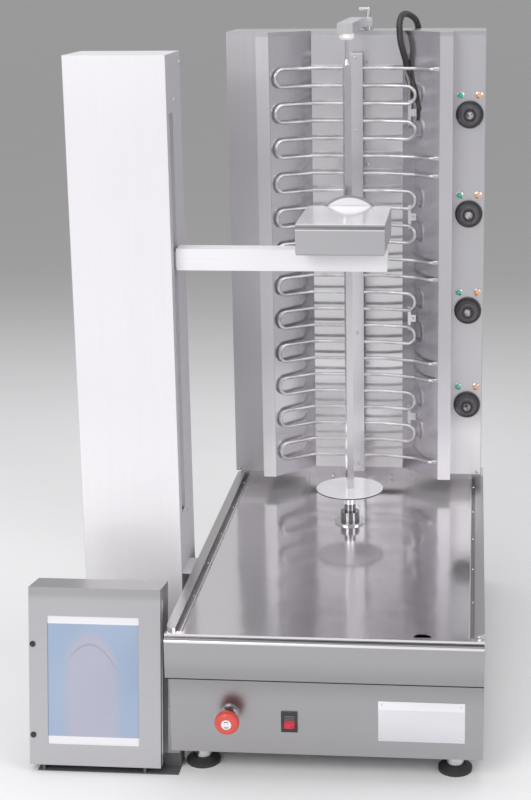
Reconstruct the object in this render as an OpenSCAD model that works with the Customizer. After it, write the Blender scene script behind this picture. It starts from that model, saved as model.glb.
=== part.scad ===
// Electric skewer grill with a slicing arm on a tower and a tilted control box.
// Millimetres. +Z up, the front faces -Y, the origin is under the middle of the whole machine.

/* [Sheet metal] */
// Thickness of the folded stainless sheet
sheet = 1.5; // [1:0.1:2]

/* [Base] */
// Width of the base
base_w = 510; // [500:1:530]
// Depth of the base, front panel to rear panel
base_d = 860; // [850:5:900]
// Height of the underside above the table
base_lift = 38; // [34:1:45]
// Height of the deck above the table
deck_z = 253; // [245:1:262]
// Front panel to the middle of the spit
spit_y = 515; // [500:1:525]
// Rear panel to the front of the deck's upstand
upstand_y = 82; // [75:1:90]
// Height of the upstand above the deck
upstand_h = 48; // [36:1:60]
// How far the deck's front rim stands ahead of the front panel
rim_out = 28; // [26:0.5:30]
// Width of the front rim
rim_w = 10; // [8:0.5:12]
// Height of the front rim above the deck
rim_h = 4; // [3:0.5:6]
// Half length of the drain slot between its end centres
drain_half = 3; // [1:0.5:6]
// Radius of the drain slot's ends
drain_r = 11; // [9:0.5:12]
// Drain slot's distance right of the middle
drain_x = 156; // [120:1:180]
// Drain slot's place along the depth
drain_y = -6.5; // [-7:0.5:-5]

/* [Rails] */
// Width of a side rail's top
rail_w = 16; // [12:1:20]
// Height of a side rail above the deck
rail_h = 9; // [7:0.5:12]
// Width of the rail's inner flange
rail_flange = 9; // [8:0.5:12]
// Height of the lip on the inner flange
rail_lip = 4; // [3:0.5:6]
// Distance between two rail screws
rail_pitch = 148; // [140:1:150]
// Place of the foremost rail screw behind the deck's front edge, negative before it
rail_first = -15; // [-20:1:10]
// Distance of the rearmost rail screw from the upstand
rail_last = 53; // [40:1:80]
// Number of screws in a rail
rail_screws = 6; // [4:1:6]
// Radius of a rail screw's head
rail_screw_r = 2.8; // [2:0.1:3]
// Radius of the other screws' heads
screw_head_r = 3.5; // [3:0.1:4]
// Sideways places of the upstand's screws
upstand_screws = [-55, 66];
// Height of the upstand's screws above the deck
upstand_screw_z = 5; // [4.5:0.5:8]

/* [Feet] */
// Distance of a foot from the middle, sideways
foot_x = 209.5; // [200:0.5:215]
// Distance of the front feet from the front panel
foot_y = 40; // [35:1:60]
// Distance of the rear feet from the rear panel
foot_rear = 60; // [50:1:80]
// Radius of a foot's chrome stem
foot_stem_r = 14.5; // [12:0.5:16]
// Radius of a foot's rubber pad
foot_pad_r = 28; // [24:1:30]
// Height of a foot's rubber pad
foot_pad_h = 12; // [9:1:16]

/* [Drawer] */
// How far the drawer front stands ahead of the front panel
drawer_out = 37; // [36:0.5:42]
// Height of the drawer front
drawer_h = 68; // [60:1:72]
// Half width of the pan's catch under the drain slot
catch_half = 30; // [24:1:40]
// Radius of the drawer front's top edge
drawer_edge_r = 4.5; // [3:0.5:6]
// Height of the finger edge's return, front to back
finger_edge = 9; // [6:1:12]
// Length of the drawer pan
pan_d = 430; // [380:5:440]
// Depth of the drawer pan
pan_h = 40; // [30:1:41]
// Gap between the pan's side and the base's side wall
pan_gap = 16; // [14:0.5:20]
// Width of the pan's rim
pan_rim = 9; // [7:0.5:11]
// Running clearance of the pan on its runners
runner_clear = 0.3; // [0.2:0.05:0.5]

/* [Drive] */
// Radius of the drive shaft
shaft_r = 8; // [7:0.5:9]
// Running clearance of a turning shaft, on the radius
run_clear = 0.05; // [0.02:0.01:0.08]
// Radius of the flange on the deck
flange_r = 30; // [26:1:34]
// Height of the flange on the deck
flange_h = 4; // [3:0.5:6]
// Radius of the hub's wide step
hub_r = 18; // [16:0.5:20]
// Height of the hub's wide step
hub_h = 18; // [14:1:22]
// Radius of the hub's narrow step
collar_r = 10.8; // [10:0.2:12]
// Height of the hub's narrow step
collar_h = 15; // [12:1:18]
// Radius of the gear motor's can
motor_r = 36; // [30:1:40]
// Length of the gear motor's can
motor_h = 88; // [70:1:95]
// Height of the gear motor's box
gearbox_h = 52; // [45:1:58]
// Width of the gear motor's box
gearbox_w = 96; // [80:1:110]
// Depth of the gear motor's box
gearbox_d = 104; // [80:1:120]
// How far the gear motor's plate stands out all round
gear_plate = 12; // [10:0.5:16]

/* [Spit] */
// Width of the square spit bar
bar_w = 12.5; // [11:0.5:14]
// Turn of the bar about its axis, in degrees
bar_turn = 20; // [0:1:45]
// Distance below the arm where the bar narrows
bar_top = 56; // [50:1:64]
// Radius of the spit's thin tip
tip_r = 3; // [2.5:0.1:3.5]
// Radius of the meat disc
disc_r = 64; // [56:1:66]
// Height of the meat disc's top above the table
disc_z = 321; // [316:1:330]
// Thickness of the meat disc
disc_t = 3; // [2:0.5:4]

/* [Heater wall] */
// Width of the heater wall
wall_w = 500; // [496:1:504]
// Gap between the deck and the wall's underside
wall_gap = 30; // [26:1:34]
// Height of the wall above that gap
wall_h = 877; // [872:1:890]
// Rear panel to the side panels' front
panel_y = 138; // [134:1:142]
// Side panels' front to the reflector's middle
reflector_y = 38; // [34:1:42]
// Half width of the reflector's flat middle
reflector_half = 89; // [85:1:95]
// How far the posts stand ahead of the side panels
post_y = 37; // [32:1:42]
// Distance of a post's inner face from the middle
post_in = 163; // [160:1:166]
// Width of a post
post_w = 25; // [22:1:27]
// Depth of a post's inner return
post_return = 3; // [2:0.5:4]
// Height of the top cap
cap_h = 8; // [6:0.5:10]
// Number of vents in one row at the back
vents = 9; // [5:1:10]

/* [Heating elements] */
// Distance between two legs of an element
leg_pitch = 33.95; // [33.5:0.05:34.2]
// Radius of an element's tube
tube_r = 3.25; // [3:0.05:3.6]
// Number of elements
elements = 4; // [2:1:4]
// Height of the lowest leg above the table
low_leg_z = 317; // [315:1:322]
// Distance of the legs' axes ahead of the reflector's middle
leg_y = 25; // [23:0.5:27]
// Left bend's distance from the middle
bend_left = 91; // [86:1:95]
// Right bend's distance from the middle
bend_right = 56; // [52:1:60]
// Turn of the left ends towards the front, in degrees
left_turn = 36; // [34:1:38]
// Length of the left ends up to the turn's centre
left_run = 58.8; // [56:0.2:60]
// Turn of the right ends towards the front, in degrees
right_turn = 14.3; // [13:0.1:16]
// Length of the right ends up to the turn's centre
right_run = 43.9; // [40:0.1:46]
// Radius of a ceramic ferrule
ferrule_r = 4.6; // [4.2:0.1:6]
// Width of the centre strap
strap_w = 24; // [20:1:26]
// Centre strap's offset to the right
strap_x = 1; // [-2:0.5:3]
// Distance of the strap's top below the wall's top
strap_top = 33; // [28:1:38]
// Heights of the strap's lower screws above the wall's underside
strap_screws = [17, 290, 695];
// Distance of the strap's top screw below the wall's top
strap_screw_top = 42; // [40:1:60]
// Heights of the reflector's lower screws above the wall's underside
wall_screws = [221, 626];
// Distance of the reflector's top screw below the wall's top
wall_screw_top = 50; // [40:1:70]

/* [Controls] */
// Distance of the knobs from the middle
knob_x = 220; // [218:0.5:222]
// Height of the lowest knob above the table
knob_low_z = 431; // [425:1:435]
// Distance between two knobs
knob_pitch = 193; // [190:1:196]
// Radius of a knob
knob_r = 26.5; // [24:0.5:27]
// Radius of a knob's spindle
spindle_r = 3; // [2.5:0.1:3.5]
// Turn of a knob from off to full, in degrees
knob_turn = 270; // [240:5:300]
// Distance of the pilot lamps from the knob's middle, sideways
lamp_dx = 18; // [17:0.5:20]
// Distance of the pilot lamps above the knob's middle
lamp_dz = 37; // [36:0.5:40]
// Radius of a pilot lamp's bezel
lamp_r = 7; // [6:0.2:7.4]
// Length of a pilot lamp behind the panel
lamp_l = 24; // [18:1:30]
// Width of an energy regulator
regulator_w = 36; // [32:1:40]
// Depth of an energy regulator
regulator_d = 36; // [30:1:42]

/* [Top bracket] */
// Width of the top bracket's arm
arm_w = 28; // [26:1:30]
// Height of the arm
arm_h = 18; // [16:1:20]
// Height of the arm's underside above the top cap
arm_z = 6; // [4:0.5:10]
// How far the arm reaches past the spit's axis
arm_y0 = 15; // [13:1:19]
// Rear panel to the arm's post
post_bolt_y = 60; // [54:1:70]
// Post's distance right of the middle
post_bolt_x = 20; // [19:0.5:22]
// Radius of the post
post_bolt_r = 4; // [3:0.1:4.5]
// How far the arm lifts to free the spit
arm_lift = 12; // [12:0.5:14]
// Radius of the top bush
bush_r = 13.5; // [12:0.5:14]

/* [Tower] */
// Width of the tower
tower_w = 171; // [168:1:173]
// Depth of the tower
tower_d = 129; // [126:1:134]
// Height of the tower
tower_h = 1153; // [1145:1:1160]
// Distance of the tower's right side from the middle
tower_x = 273; // [272:0.5:276]
// Place of the tower's front along the depth
tower_y = 226; // [222:1:230]
// Height of the slot's lower end above the table
slot_z0 = 362; // [360:1:364]
// Height of the slot's upper end above the table
slot_z1 = 1056; // [1054:1:1060]
// Width of the slot
slot_w = 28; // [26:1:30]
// Middle of the slot behind the tower's front
slot_in = 36; // [35:0.5:37]
// Radius of a guide rod
rod_r = 8; // [6:0.5:9]
// Radius of the lead screw
screw_r = 9; // [8:0.5:10]
// Lead of the screw for one turn
screw_lead = 20; // [10:1:30]
// Carriage's way up from where it rests
carriage_up = 225; // [200:5:225]
// Carriage's way down from where it rests
carriage_down = 425; // [400:5:425]

/* [Arm] */
// Height of the beam's underside above the table
beam_z = 793; // [792:0.5:795]
// Height of the beam
beam_h = 36.5; // [35:0.5:37]
// Depth of the beam
beam_d = 38; // [36:0.5:40]
// Distance of the beam's right end from the middle
beam_end = 86.5; // [85:0.5:90]
// Wall of the beam's tube
beam_wall = 2; // [1.5:0.1:2.5]
// Place of the beam's front along the depth
beam_y = 249; // [248.5:0.5:249.5]
// Height of the tongue in the slot
tongue_h = 26; // [22:1:28]
// Width of the tongue in the slot
tongue_w = 22; // [18:1:23]
// How far the tongue reaches past the tower's side
tongue_l = 64; // [40:1:80]
// Gap between the carriage and the tower's side
carriage_gap = 14; // [12:0.5:18]

/* [Slicing head] */
// Width of the head
head_w = 147; // [146:1:150]
// Depth of the head
head_d = 203; // [200:1:205]
// Height of the head
head_h = 51; // [50:1:54]
// Left side of the head from the middle
head_x0 = -61; // [-62:0.5:-60]
// Place of the head's front along the depth
head_y = 194; // [192:1:196]
// Height of the lid's sides
lid_lip = 49; // [40:1:50]
// Radius of the lid's rolled front edge
head_roll = 9; // [6:0.5:12]
// Gap between the head and the beam under it
head_gap = 0.5; // [0.4:0.1:0.8]
// Radius of a slide rod in the head
slide_r = 4; // [3:0.5:5]
// Length of a slide block along the rod
block_l = 26; // [24:1:30]
// Head's way to the spit from where it rests
feed_in = 45; // [40:1:45]
// Head's way back from where it rests
feed_back = 65; // [50:1:65]
// Radius of the blade
blade_r = 62; // [58:0.5:64]
// Width of the blade's bevel
blade_bevel = 4.5; // [3:0.5:8]
// Thickness of the blade
blade_t = 2; // [1.5:0.1:2.5]
// Height of the blade's axis above the head's underside
blade_up = 8; // [7.5:0.5:11]
// Radius of the blade's spindle
blade_shaft_r = 4; // [3:0.5:5]
// Radius of the blade motor's gearbox
blade_gear_r = 18; // [16:0.5:18]

/* [Control box] */
// Width of the control box
box_w = 219; // [215:1:220]
// Height of the box's face
box_h = 297; // [290:1:300]
// Depth of the box
box_d = 64; // [58:1:68]
// Depth of the door
door_d = 12; // [11:0.5:12.5]
// Lean of the box, in degrees
box_tilt = 9; // [8:0.5:10]
// Left side of the box from the middle
box_x0 = -490; // [-491:0.5:-489]
// Place of the box's lower front edge along the depth
box_y0 = -16; // [-18:0.5:-14]
// Height of the box's lower front edge above the table
box_z0 = 13; // [13:0.5:16]
// Width of the touch panel
screen_w = 152; // [145:1:156]
// Height of the touch panel
screen_h = 215; // [205:1:220]
// Touch panel's distance from the door's left edge
screen_in = 31; // [28:0.5:34]
// Touch panel's distance from the door's lower edge
screen_up = 35; // [30:1:40]
// Depth of the recess round the touch panel
screen_recess = 2.5; // [2:0.1:3]
// Radius of a door lock's dome
lock_r = 5; // [4:0.5:6]
// Heights of the two door locks on the door
lock_up = [50, 202];

/* [Front controls] */
// Emergency stop's distance left of the middle
estop_x = 157; // [150:1:165]
// Emergency stop's height above the table
estop_z = 107; // [100:1:112]
// Radius of the emergency stop's cap
estop_r = 20; // [18:0.5:22]
// How far the cap stands ahead of the front panel
estop_out = 40; // [38:0.5:40]
// Travel of the emergency stop
estop_travel = 5; // [4:0.5:6]
// Rocker's distance left of the middle
rocker_x = 59.5; // [50:0.5:70]
// Rocker's height above the table
rocker_z = 96; // [90:1:110]
// Width of the rocker's bezel
bezel_w = 27; // [25:0.5:29]
// Height of the rocker's bezel
bezel_h = 35; // [32:0.5:37]
// Width of the bezel's frame
bezel_edge = 3.5; // [3:0.1:4]
// Tilt of the rocker each way, in degrees
rocker_tilt = 8; // [6:1:10]

/* [Cord] */
// Radius of the supply cord's sheath
cord_r = 6.25; // [5:0.25:6.75]
// Radius of one core
core_r = 2; // [1.5:0.1:2.2]
// Radius of the cord gland
gland_r = 13; // [11:0.5:15]
// Length of the cord gland
gland_l = 25; // [20:1:28]

/* [Hidden] */

$fn = 48;
seat = 0.3; // gap between pieces of two bodies
eps = 1; // overshoot of a cutter

half_w = base_w / 2;
origin_x = (box_x0 + half_w) / 2;
origin_y = (base_d - estop_out) / 2;
side_half = wall_w / 2;
wall_z0 = deck_z + wall_gap;
wall_z1 = wall_z0 + wall_h;
cap_top = wall_z1 + cap_h;
arm_low = cap_top + arm_z;
narrow_z = arm_low - bar_top;
upstand_face = base_d - upstand_y;
panel_face = base_d - panel_y;
reflector_mid = panel_face + reflector_y;
post_face = panel_face - post_y;
leg_plane = reflector_mid - leg_y;
arm_front = spit_y - arm_y0;
arm_post_y = base_d - post_bolt_y;
post_out = post_in + post_w;
inner_half = half_w - sheet;

// --- shared shapes ---

module place() {
  translate([-origin_x, -origin_y, 0]) children();
}

// A box between two corners.
module block(lo, hi) {
  translate(lo) cube(hi - lo);
}

// Round bars along an axis, from one coordinate to another.
module bar_x(x0, x1, y, z, r) {
  translate([x0, y, z]) rotate([0, 90, 0]) cylinder(h = x1 - x0, r = r);
}

module bar_y(x, y0, y1, z, r) {
  translate([x, y0, z]) rotate([-90, 0, 0]) cylinder(h = y1 - y0, r = r);
}

module bar_z(x, y, z0, z1, r) {
  translate([x, y, z0]) cylinder(h = z1 - z0, r = r);
}

// A copy on each side of the middle.
module both_sides() {
  children();
  mirror([1, 0, 0]) children();
}

function unit(v) = v / norm(v);
function along(p, i) = unit(p[min(i + 1, len(p) - 1)] - p[max(i - 1, 0)]);
function ring(p, i, r, n, ref) = let (t = along(p, i), u = unit(ref - t * (t * ref)), v = cross(t, u))
  [for (k = [0:n - 1]) p[i] + r * (cos(360 * k / n) * u + sin(360 * k / n) * v)];

// A round tube of n sides through the points of a path that never runs along ref.
module swept(path, r, n, ref) {
  last = len(path) - 1;
  points = [for (i = [0:last]) each ring(path, i, r, n, ref)];
  sides = [for (i = [0:last - 1], k = [0:n - 1])
    let (a = i * n + k, b = i * n + (k + 1) % n) each [[a, a + n, b], [b, a + n, b + n]]];
  ends = [[for (k = [0:n - 1]) k], [for (k = [0:n - 1]) last * n + n - 1 - k]];
  polyhedron(points, concat(sides, ends));
}

// --- base ---

opening_low = deck_z - drawer_h - 0.5;
pan_z0 = opening_low + 6;
pan_z1 = pan_z0 + pan_h;
pan_half = inner_half - pan_gap;
rim_half = pan_half + pan_rim;
front_top = deck_z - sheet - 8;
drain_open = drain_half + drain_r + 2;
catch_y = drain_y - drain_r - 4;

module base_body() {
  color("silver") place() difference() {
    block([-half_w, 0, base_lift], [half_w, base_d, deck_z - sheet]);
    block([-inner_half, sheet, base_lift - eps], [inner_half, base_d - sheet, deck_z + eps]);
    // the drawer's opening in the front panel
    block([-rim_half - 2, -eps, opening_low + 3], [rim_half + 2, sheet + eps, front_top]);
    block([drain_x - drain_open, -eps, front_top - eps], [drain_x + drain_open, sheet + eps, deck_z]);
    bar_y(-estop_x, -eps, sheet + eps, estop_z, estop_stem_r);
    block([-rocker_x - rocker_well_w / 2, -eps, rocker_z - rocker_well_h / 2],
      [-rocker_x + rocker_well_w / 2, sheet + eps, rocker_z + rocker_well_h / 2]);
    for (k = [0:vents - 1])
      block([-120 + k * 24, base_d - sheet - eps, 80], [-108 + k * 24, base_d + eps, 150]);
  }
}

module base_floor() {
  color("silver") place() difference() {
    block([-inner_half, sheet, base_lift], [inner_half, base_d - sheet, base_lift + sheet]);
    for (k = [0:vents - 1])
      block([-120 + k * 24, spit_y - 50, base_lift - eps],
        [-108 + k * 24, spit_y + 50, base_lift + sheet + eps]);
  }
}

module feet() {
  color("dimgray") place() both_sides() for (y = [foot_y, base_d - foot_rear]) {
    bar_z(foot_x, y, foot_pad_h, base_lift, foot_stem_r);
    translate([foot_x, y, 0]) rotate_extrude()
      polygon([[0, 0], [foot_pad_r, 0], [foot_pad_r, foot_pad_h * 0.5], [foot_stem_r + 3, foot_pad_h],
        [0, foot_pad_h]]);
  }
}

module deck_tray() {
  shaft_hole_r = shaft_r + 3;
  upstand_half = side_half - sheet;
  color("gainsboro") place() difference() {
    union() {
      block([-half_w, -rim_out, deck_z - sheet], [half_w, base_d, deck_z]);
      block([-half_w, -rim_out, deck_z - sheet], [half_w, -rim_out + rim_w, deck_z + rim_h]);
      block([-upstand_half, upstand_face, deck_z - sheet],
        [upstand_half, upstand_face + sheet, deck_z + upstand_h]);
      bar_z(drain_x, drain_y, deck_z - sheet, deck_z, drain_r + 2);
    }
    bar_z(0, spit_y, deck_z - 2 * sheet, deck_z + eps, shaft_hole_r);
    for (s = [-1, 1])
      bar_z(drain_x + s * drain_half, drain_y, deck_z - 2 * sheet, deck_z + eps, drain_r);
    block([drain_x - drain_half, drain_y - drain_r, deck_z - 2 * sheet],
      [drain_x + drain_half, drain_y + drain_r, deck_z + eps]);
  }
}

rail_in = half_w - rail_w - rail_flange;
rail_screw_x = half_w - rail_w - rail_screw_r - 0.6;

module side_rails() {
  rail_y0 = -rim_out + rim_w;
  profile = [[half_w, 0], [half_w, rail_h], [half_w - rail_w, rail_h], [half_w - rail_w, sheet],
    [rail_in + 1.2, sheet], [rail_in + 1.2, rail_lip], [rail_in, rail_lip], [rail_in, 0]];
  color("gainsboro") place() both_sides() difference() {
    translate([0, upstand_face, deck_z]) rotate([90, 0, 0]) linear_extrude(upstand_face - rail_y0)
      polygon(profile);
    // the rounded front corner
    translate([0, 0, deck_z - eps]) linear_extrude(rail_h + 2 * eps) difference() {
      translate([half_w - rail_w, rail_y0 - eps]) square([rail_w + eps, rail_w + eps]);
      translate([half_w - rail_w, rail_y0 + rail_w]) circle(r = rail_w);
    }
  }
}

// Screws: rails, upstand, heater wall, straps, tower side.
module screw_z(x, y, z, r) {
  translate([x, y, z]) rotate_extrude() polygon([[0, 0], [r, 0], [r * 0.8, r * 0.5], [0, r * 0.6]]);
}

module screw_y(x, y, z, r) {
  translate([x, y, z]) rotate([90, 0, 0]) screw_z(0, 0, 0, r);
}

module screw_x(x, y, z, r) {
  translate([x, y, z]) rotate([0, 90, 0]) screw_z(0, 0, 0, r);
}

strap_screw_z = [for (z = strap_screws) wall_z0 + z, wall_z1 - strap_screw_top];
wall_screw_z = [for (z = wall_screws) wall_z0 + z, wall_z1 - wall_screw_top];
clip_z = [for (k = [0:elements - 1]) low_leg_z + leg_pitch * (6 * k + 2.5)];
// half of the rail screws are counted from the front, half from the upstand
rail_screw_y = [for (k = [0:rail_screws - 1]) k < rail_screws / 2 ? rail_first + k * rail_pitch
  : upstand_face - rail_last - (rail_screws - 1 - k) * rail_pitch];

module screws() {
  color("darkgray") place() {
    both_sides() for (y = rail_screw_y) screw_z(rail_screw_x, y, deck_z + sheet, rail_screw_r);
    for (x = upstand_screws) screw_y(x, upstand_face, deck_z + upstand_screw_z, screw_head_r);
    both_sides() screw_y(side_half - 9, panel_face, wall_z0 + 6, screw_head_r);
    for (z = strap_screw_z) screw_y(strap_x - 1, strap_y, z, screw_head_r);
    for (z = wall_screw_z) screw_y(20, reflector_mid, z, screw_head_r);
    for (z = clip_z) screw_y(clip_screw_x, clip_y, z, screw_head_r * 0.85);
    for (p = [[119, tower_h - 18], [65, tower_h - 78], [66, box_h + 54]])
      screw_x(-tower_x, tower_y + p[0], p[1], 3);
  }
}

module drawer_front() {
  w = half_w - 0.5;
  z0 = deck_z - drawer_h - 2;
  z1 = deck_z - sheet - 0.5;
  y0 = -drawer_out;
  y1 = -seat - 0.5;
  color("silver") place() {
    difference() {
      union() {
        block([-w, y0 + drawer_edge_r, z0], [w, y1, z1]);
        block([-w, y0, z0], [w, y0 + drawer_edge_r + eps, z1 - drawer_edge_r]);
        bar_x(-w, w, y0 + drawer_edge_r, z1 - drawer_edge_r, drawer_edge_r);
      }
      // hollow, open below behind the finger edge
      block([-w + sheet, y0 + sheet + drawer_edge_r, z0 + sheet], [w - sheet, y1 - sheet, z1 - sheet]);
      block([-w + sheet, y0 + sheet, z0 + sheet],
        [w - sheet, y0 + drawer_edge_r + 3, z1 - drawer_edge_r - sheet]);
      block([-w + sheet, y0 + finger_edge, z0 - eps], [w - sheet, y1 - sheet, z0 + 2 * sheet]);
      // the way for fat from the drain slot into the pan's catch
      block([drain_x - drain_open, catch_y + 2, pan_z1], [drain_x + drain_open, y1 + eps, z1 + eps]);
      block([drain_x - catch_half, y1 - sheet - eps, pan_z0],
        [drain_x + catch_half, y1 + eps, pan_z1 + eps]);
    }
  }
}

pan_y0 = -seat - 0.5;

module drawer_pan() {
  color("silver") place() difference() {
    union() {
      block([-pan_half, pan_y0, pan_z0], [pan_half, pan_y0 + pan_d, pan_z1]);
      block([drain_x - catch_half, catch_y, pan_z0], [drain_x + catch_half, pan_y0 + eps, pan_z1]);
      block([-rim_half, pan_y0, pan_z1 - sheet], [rim_half, pan_y0 + pan_d, pan_z1]);
    }
    block([-pan_half + sheet, pan_y0 + sheet, pan_z0 + sheet],
      [pan_half - sheet, pan_y0 + pan_d - sheet, pan_z1 + eps]);
    block([drain_x - catch_half + sheet, catch_y + sheet, pan_z0 + sheet],
      [drain_x + catch_half - sheet, pan_y0 + 2 * sheet, pan_z1 + eps]);
  }
}

module drawer_runners() {
  ledge_z = pan_z1 - sheet - runner_clear;
  color("gray") place() both_sides() union() {
    block([pan_half + 2, sheet, ledge_z - sheet], [inner_half, pan_d + 20, ledge_z]);
    block([inner_half - sheet, sheet, ledge_z - 20], [inner_half, pan_d + 20, ledge_z]);
    // the keeper above the rim
    block([rim_half - 3, sheet, pan_z1 + runner_clear],
      [inner_half, pan_d + 20, pan_z1 + runner_clear + sheet]);
  }
}

// --- drive and spit ---

gear_top = deck_z - sheet - 18;
gear_low = gear_top - gearbox_h;
gear_x = gearbox_w / 2;
gear_y = gearbox_d / 2;
shaft_low = gear_low + 12;
hub_low = deck_z + flange_h + seat;
collar_low = hub_low + hub_h;
collar_top = collar_low + collar_h;
socket_low = hub_low + 5;

module gear_motor() {
  color("dimgray") place() difference() {
    union() {
      bar_z(0, spit_y, gear_low - motor_h, gear_low, motor_r);
      block([-gear_x, spit_y - gear_y, gear_low], [gear_x, spit_y + gear_y, gear_top]);
      block([-gear_x - gear_plate, spit_y - gear_y - gear_plate, gear_top],
        [gear_x + gear_plate, spit_y + gear_y + gear_plate, gear_top + 5]);
      for (x = [-gear_x - 4, gear_x + 4], y = [-gear_y - 4, gear_y + 4])
        bar_z(x, spit_y + y, gear_top, deck_z - sheet, 5);
    }
    bar_z(0, spit_y, shaft_low, gear_top + 5 + eps, shaft_r + run_clear);
  }
}

module drive_hub() {
  color("silver") place() difference() {
    union() {
      bar_z(0, spit_y, shaft_low + 1, hub_low + eps, shaft_r);
      bar_z(0, spit_y, hub_low, collar_low, hub_r);
      bar_z(0, spit_y, collar_low - eps, collar_top, collar_r);
    }
    square_bar(bar_w + 0.2, socket_low, collar_top + eps);
  }
}

module square_bar(w, z0, z1) {
  translate([0, spit_y, z0]) rotate([0, 0, bar_turn]) translate([-w / 2, -w / 2, 0])
    cube([w, w, z1 - z0]);
}

module hub_flange() {
  color("silver") place() translate([0, spit_y, deck_z]) difference() {
    rotate_extrude() polygon([[0, 0], [flange_r, 0], [flange_r, flange_h - 1.5],
      [flange_r - 1.5, flange_h], [0, flange_h]]);
    translate([0, 0, -eps]) cylinder(h = flange_h + 2 * eps, r = shaft_r + run_clear);
  }
}

tip_top = arm_low;

module spit_bar() {
  color("gainsboro") place() {
    square_bar(bar_w, socket_low, narrow_z);
    translate([0, spit_y, narrow_z]) cylinder(h = 10, r1 = bar_w / 2, r2 = tip_r);
    bar_z(0, spit_y, narrow_z + 10, tip_top, tip_r);
  }
}

module spit_disc() {
  edge = disc_t / 2;
  color("silver") place() difference() {
    union() {
      translate([0, spit_y, disc_z - disc_t]) rotate_extrude() union() {
        square([disc_r - edge, disc_t]);
        translate([disc_r - edge, edge]) circle(r = edge);
      }
      bar_z(0, spit_y, collar_top, disc_z - disc_t, collar_r);
    }
    square_bar(bar_w, collar_top - eps, disc_z + eps);
  }
}

// --- top bracket ---

bush_z0 = arm_low - 11;
arm_top = arm_low + arm_h;
lug_x1 = post_bolt_x + 8;

module top_bush() {
  color("white") place() translate([0, spit_y, bush_z0]) difference() {
    rotate_extrude() polygon([[0, 0], [bush_r - 3, 0], [bush_r, 3], [bush_r, 11], [bush_r - 5, 11],
      [bush_r - 5, 17], [0, 17]]);
    translate([0, 0, -eps]) cylinder(h = 20, r = tip_r + run_clear);
  }
}

module top_bracket() {
  x0 = -2 - arm_w / 2;
  x1 = -2 + arm_w / 2;
  color("silver") place() difference() {
    union() {
      block([x0, arm_front, arm_low], [x1, arm_post_y + 8, arm_top]);
      block([x1 - eps, arm_post_y - 10, arm_low], [lug_x1, arm_post_y + 8, arm_top]);
    }
    block([x0 + 2, arm_front + 2, arm_low + 2], [x1 - 2, arm_post_y - 12, arm_top - 2]);
    bar_z(0, spit_y, arm_low - eps, arm_low + 3, bush_r - 5);
    bar_z(post_bolt_x, arm_post_y, arm_low - eps, arm_top + eps, post_bolt_r + run_clear);
  }
}

module bracket_post() {
  top = arm_top + arm_lift + 4;
  nut_h = arm_z - seat;
  color("gray") place() {
    difference() {
      union() {
        bar_z(post_bolt_x, arm_post_y, cap_top, top, post_bolt_r);
        bar_x(post_bolt_x - 18, post_bolt_x, arm_post_y, top, post_bolt_r * 0.75);
        translate([post_bolt_x, arm_post_y, top]) sphere(r = post_bolt_r);
      }
    }
    // wing nut and washer on the cap
    difference() {
      union() {
        bar_z(post_bolt_x, arm_post_y, cap_top, arm_low - seat, 7);
        for (s = [-1, 1])
          translate([post_bolt_x + s * 9, arm_post_y, cap_top + nut_h * 0.6]) rotate([90, 0, 0])
            translate([0, 0, -1.2]) cylinder(h = 2.4, r = nut_h * 0.38);
        block([post_bolt_x - 9, arm_post_y - 1.2, cap_top + nut_h * 0.35],
          [post_bolt_x + 9, arm_post_y + 1.2, cap_top + nut_h * 0.88]);
      }
      bar_z(post_bolt_x, arm_post_y, cap_top - eps, arm_low + eps, post_bolt_r);
    }
  }
}

// --- heater wall ---

module wall_casing() {
  y_low = upstand_face + sheet;
  color("silver") place() difference() {
    union() {
      block([-side_half, panel_face, wall_z0], [side_half, base_d, wall_z1]);
      block([-side_half, y_low, deck_z], [side_half, base_d, wall_z0 + eps]);
    }
    block([-side_half + sheet, panel_face - eps, wall_z0 + sheet],
      [side_half - sheet, base_d - sheet, wall_z1 + eps]);
    block([-side_half + sheet, y_low + sheet, deck_z - eps],
      [side_half - sheet, base_d - sheet, wall_z0 + 2 * sheet]);
    // the floor's front edge follows the reflector, so that it doesn't show
    block([-post_out, panel_face - eps, wall_z0 - eps], [post_out, y_low, wall_z0 + 2 * sheet]);
    block([-side_half + sheet, upstand_face, wall_z0 - eps],
      [side_half - sheet, y_low, wall_z0 + 2 * sheet]);
    for (k = [0:vents - 1], z = [wall_z0 + 90, wall_z1 - 120])
      block([-120 + k * 24, base_d - sheet - eps, z], [-108 + k * 24, base_d + eps, z + 70]);
  }
}

module top_cap() {
  quarter = [[side_half, base_d], [side_half, panel_face], [post_out, panel_face], [post_out, post_face],
    [post_in, post_face], [post_in, wing_y0], [reflector_half, reflector_mid]];
  color("silver") place() difference() {
    linear_extrude_at(wall_z1, cap_h) polygon(concat(quarter,
      [for (i = [len(quarter) - 1:-1:0]) [-quarter[i][0], quarter[i][1]]]));
    block([-side_half + sheet, reflector_mid + 2 * sheet, wall_z1 - eps],
      [side_half - sheet, base_d - sheet, cap_top - sheet]);
  }
}

module linear_extrude_at(z, h) {
  translate([0, 0, z]) linear_extrude(h) children();
}

// The wing's front surface: its X at a depth, and its depth at an X.
wing_y0 = post_face + post_return;
function wing_x(y) = reflector_half
  + (reflector_mid - y) * (post_in - reflector_half) / (reflector_mid - wing_y0);
function wing_y(x) = reflector_mid
  - (x - reflector_half) * (reflector_mid - wing_y0) / (post_in - reflector_half);

module reflector() {
  back = sheet * 1.4;
  path = [[-post_in, wing_y0], [-reflector_half, reflector_mid], [reflector_half, reflector_mid],
    [post_in, wing_y0],
    [post_in, wing_y0 + back], [reflector_half + back / 2, reflector_mid + sheet],
    [-reflector_half - back / 2, reflector_mid + sheet], [-post_in, wing_y0 + back]];
  color("gainsboro") place() difference() {
    linear_extrude_at(wall_z0, wall_h) polygon(path);
    for (z = terminal_z)
      bar_x(post_in - 16, post_in + eps, terminal_y, z, ferrule_r);
  }
}

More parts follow.
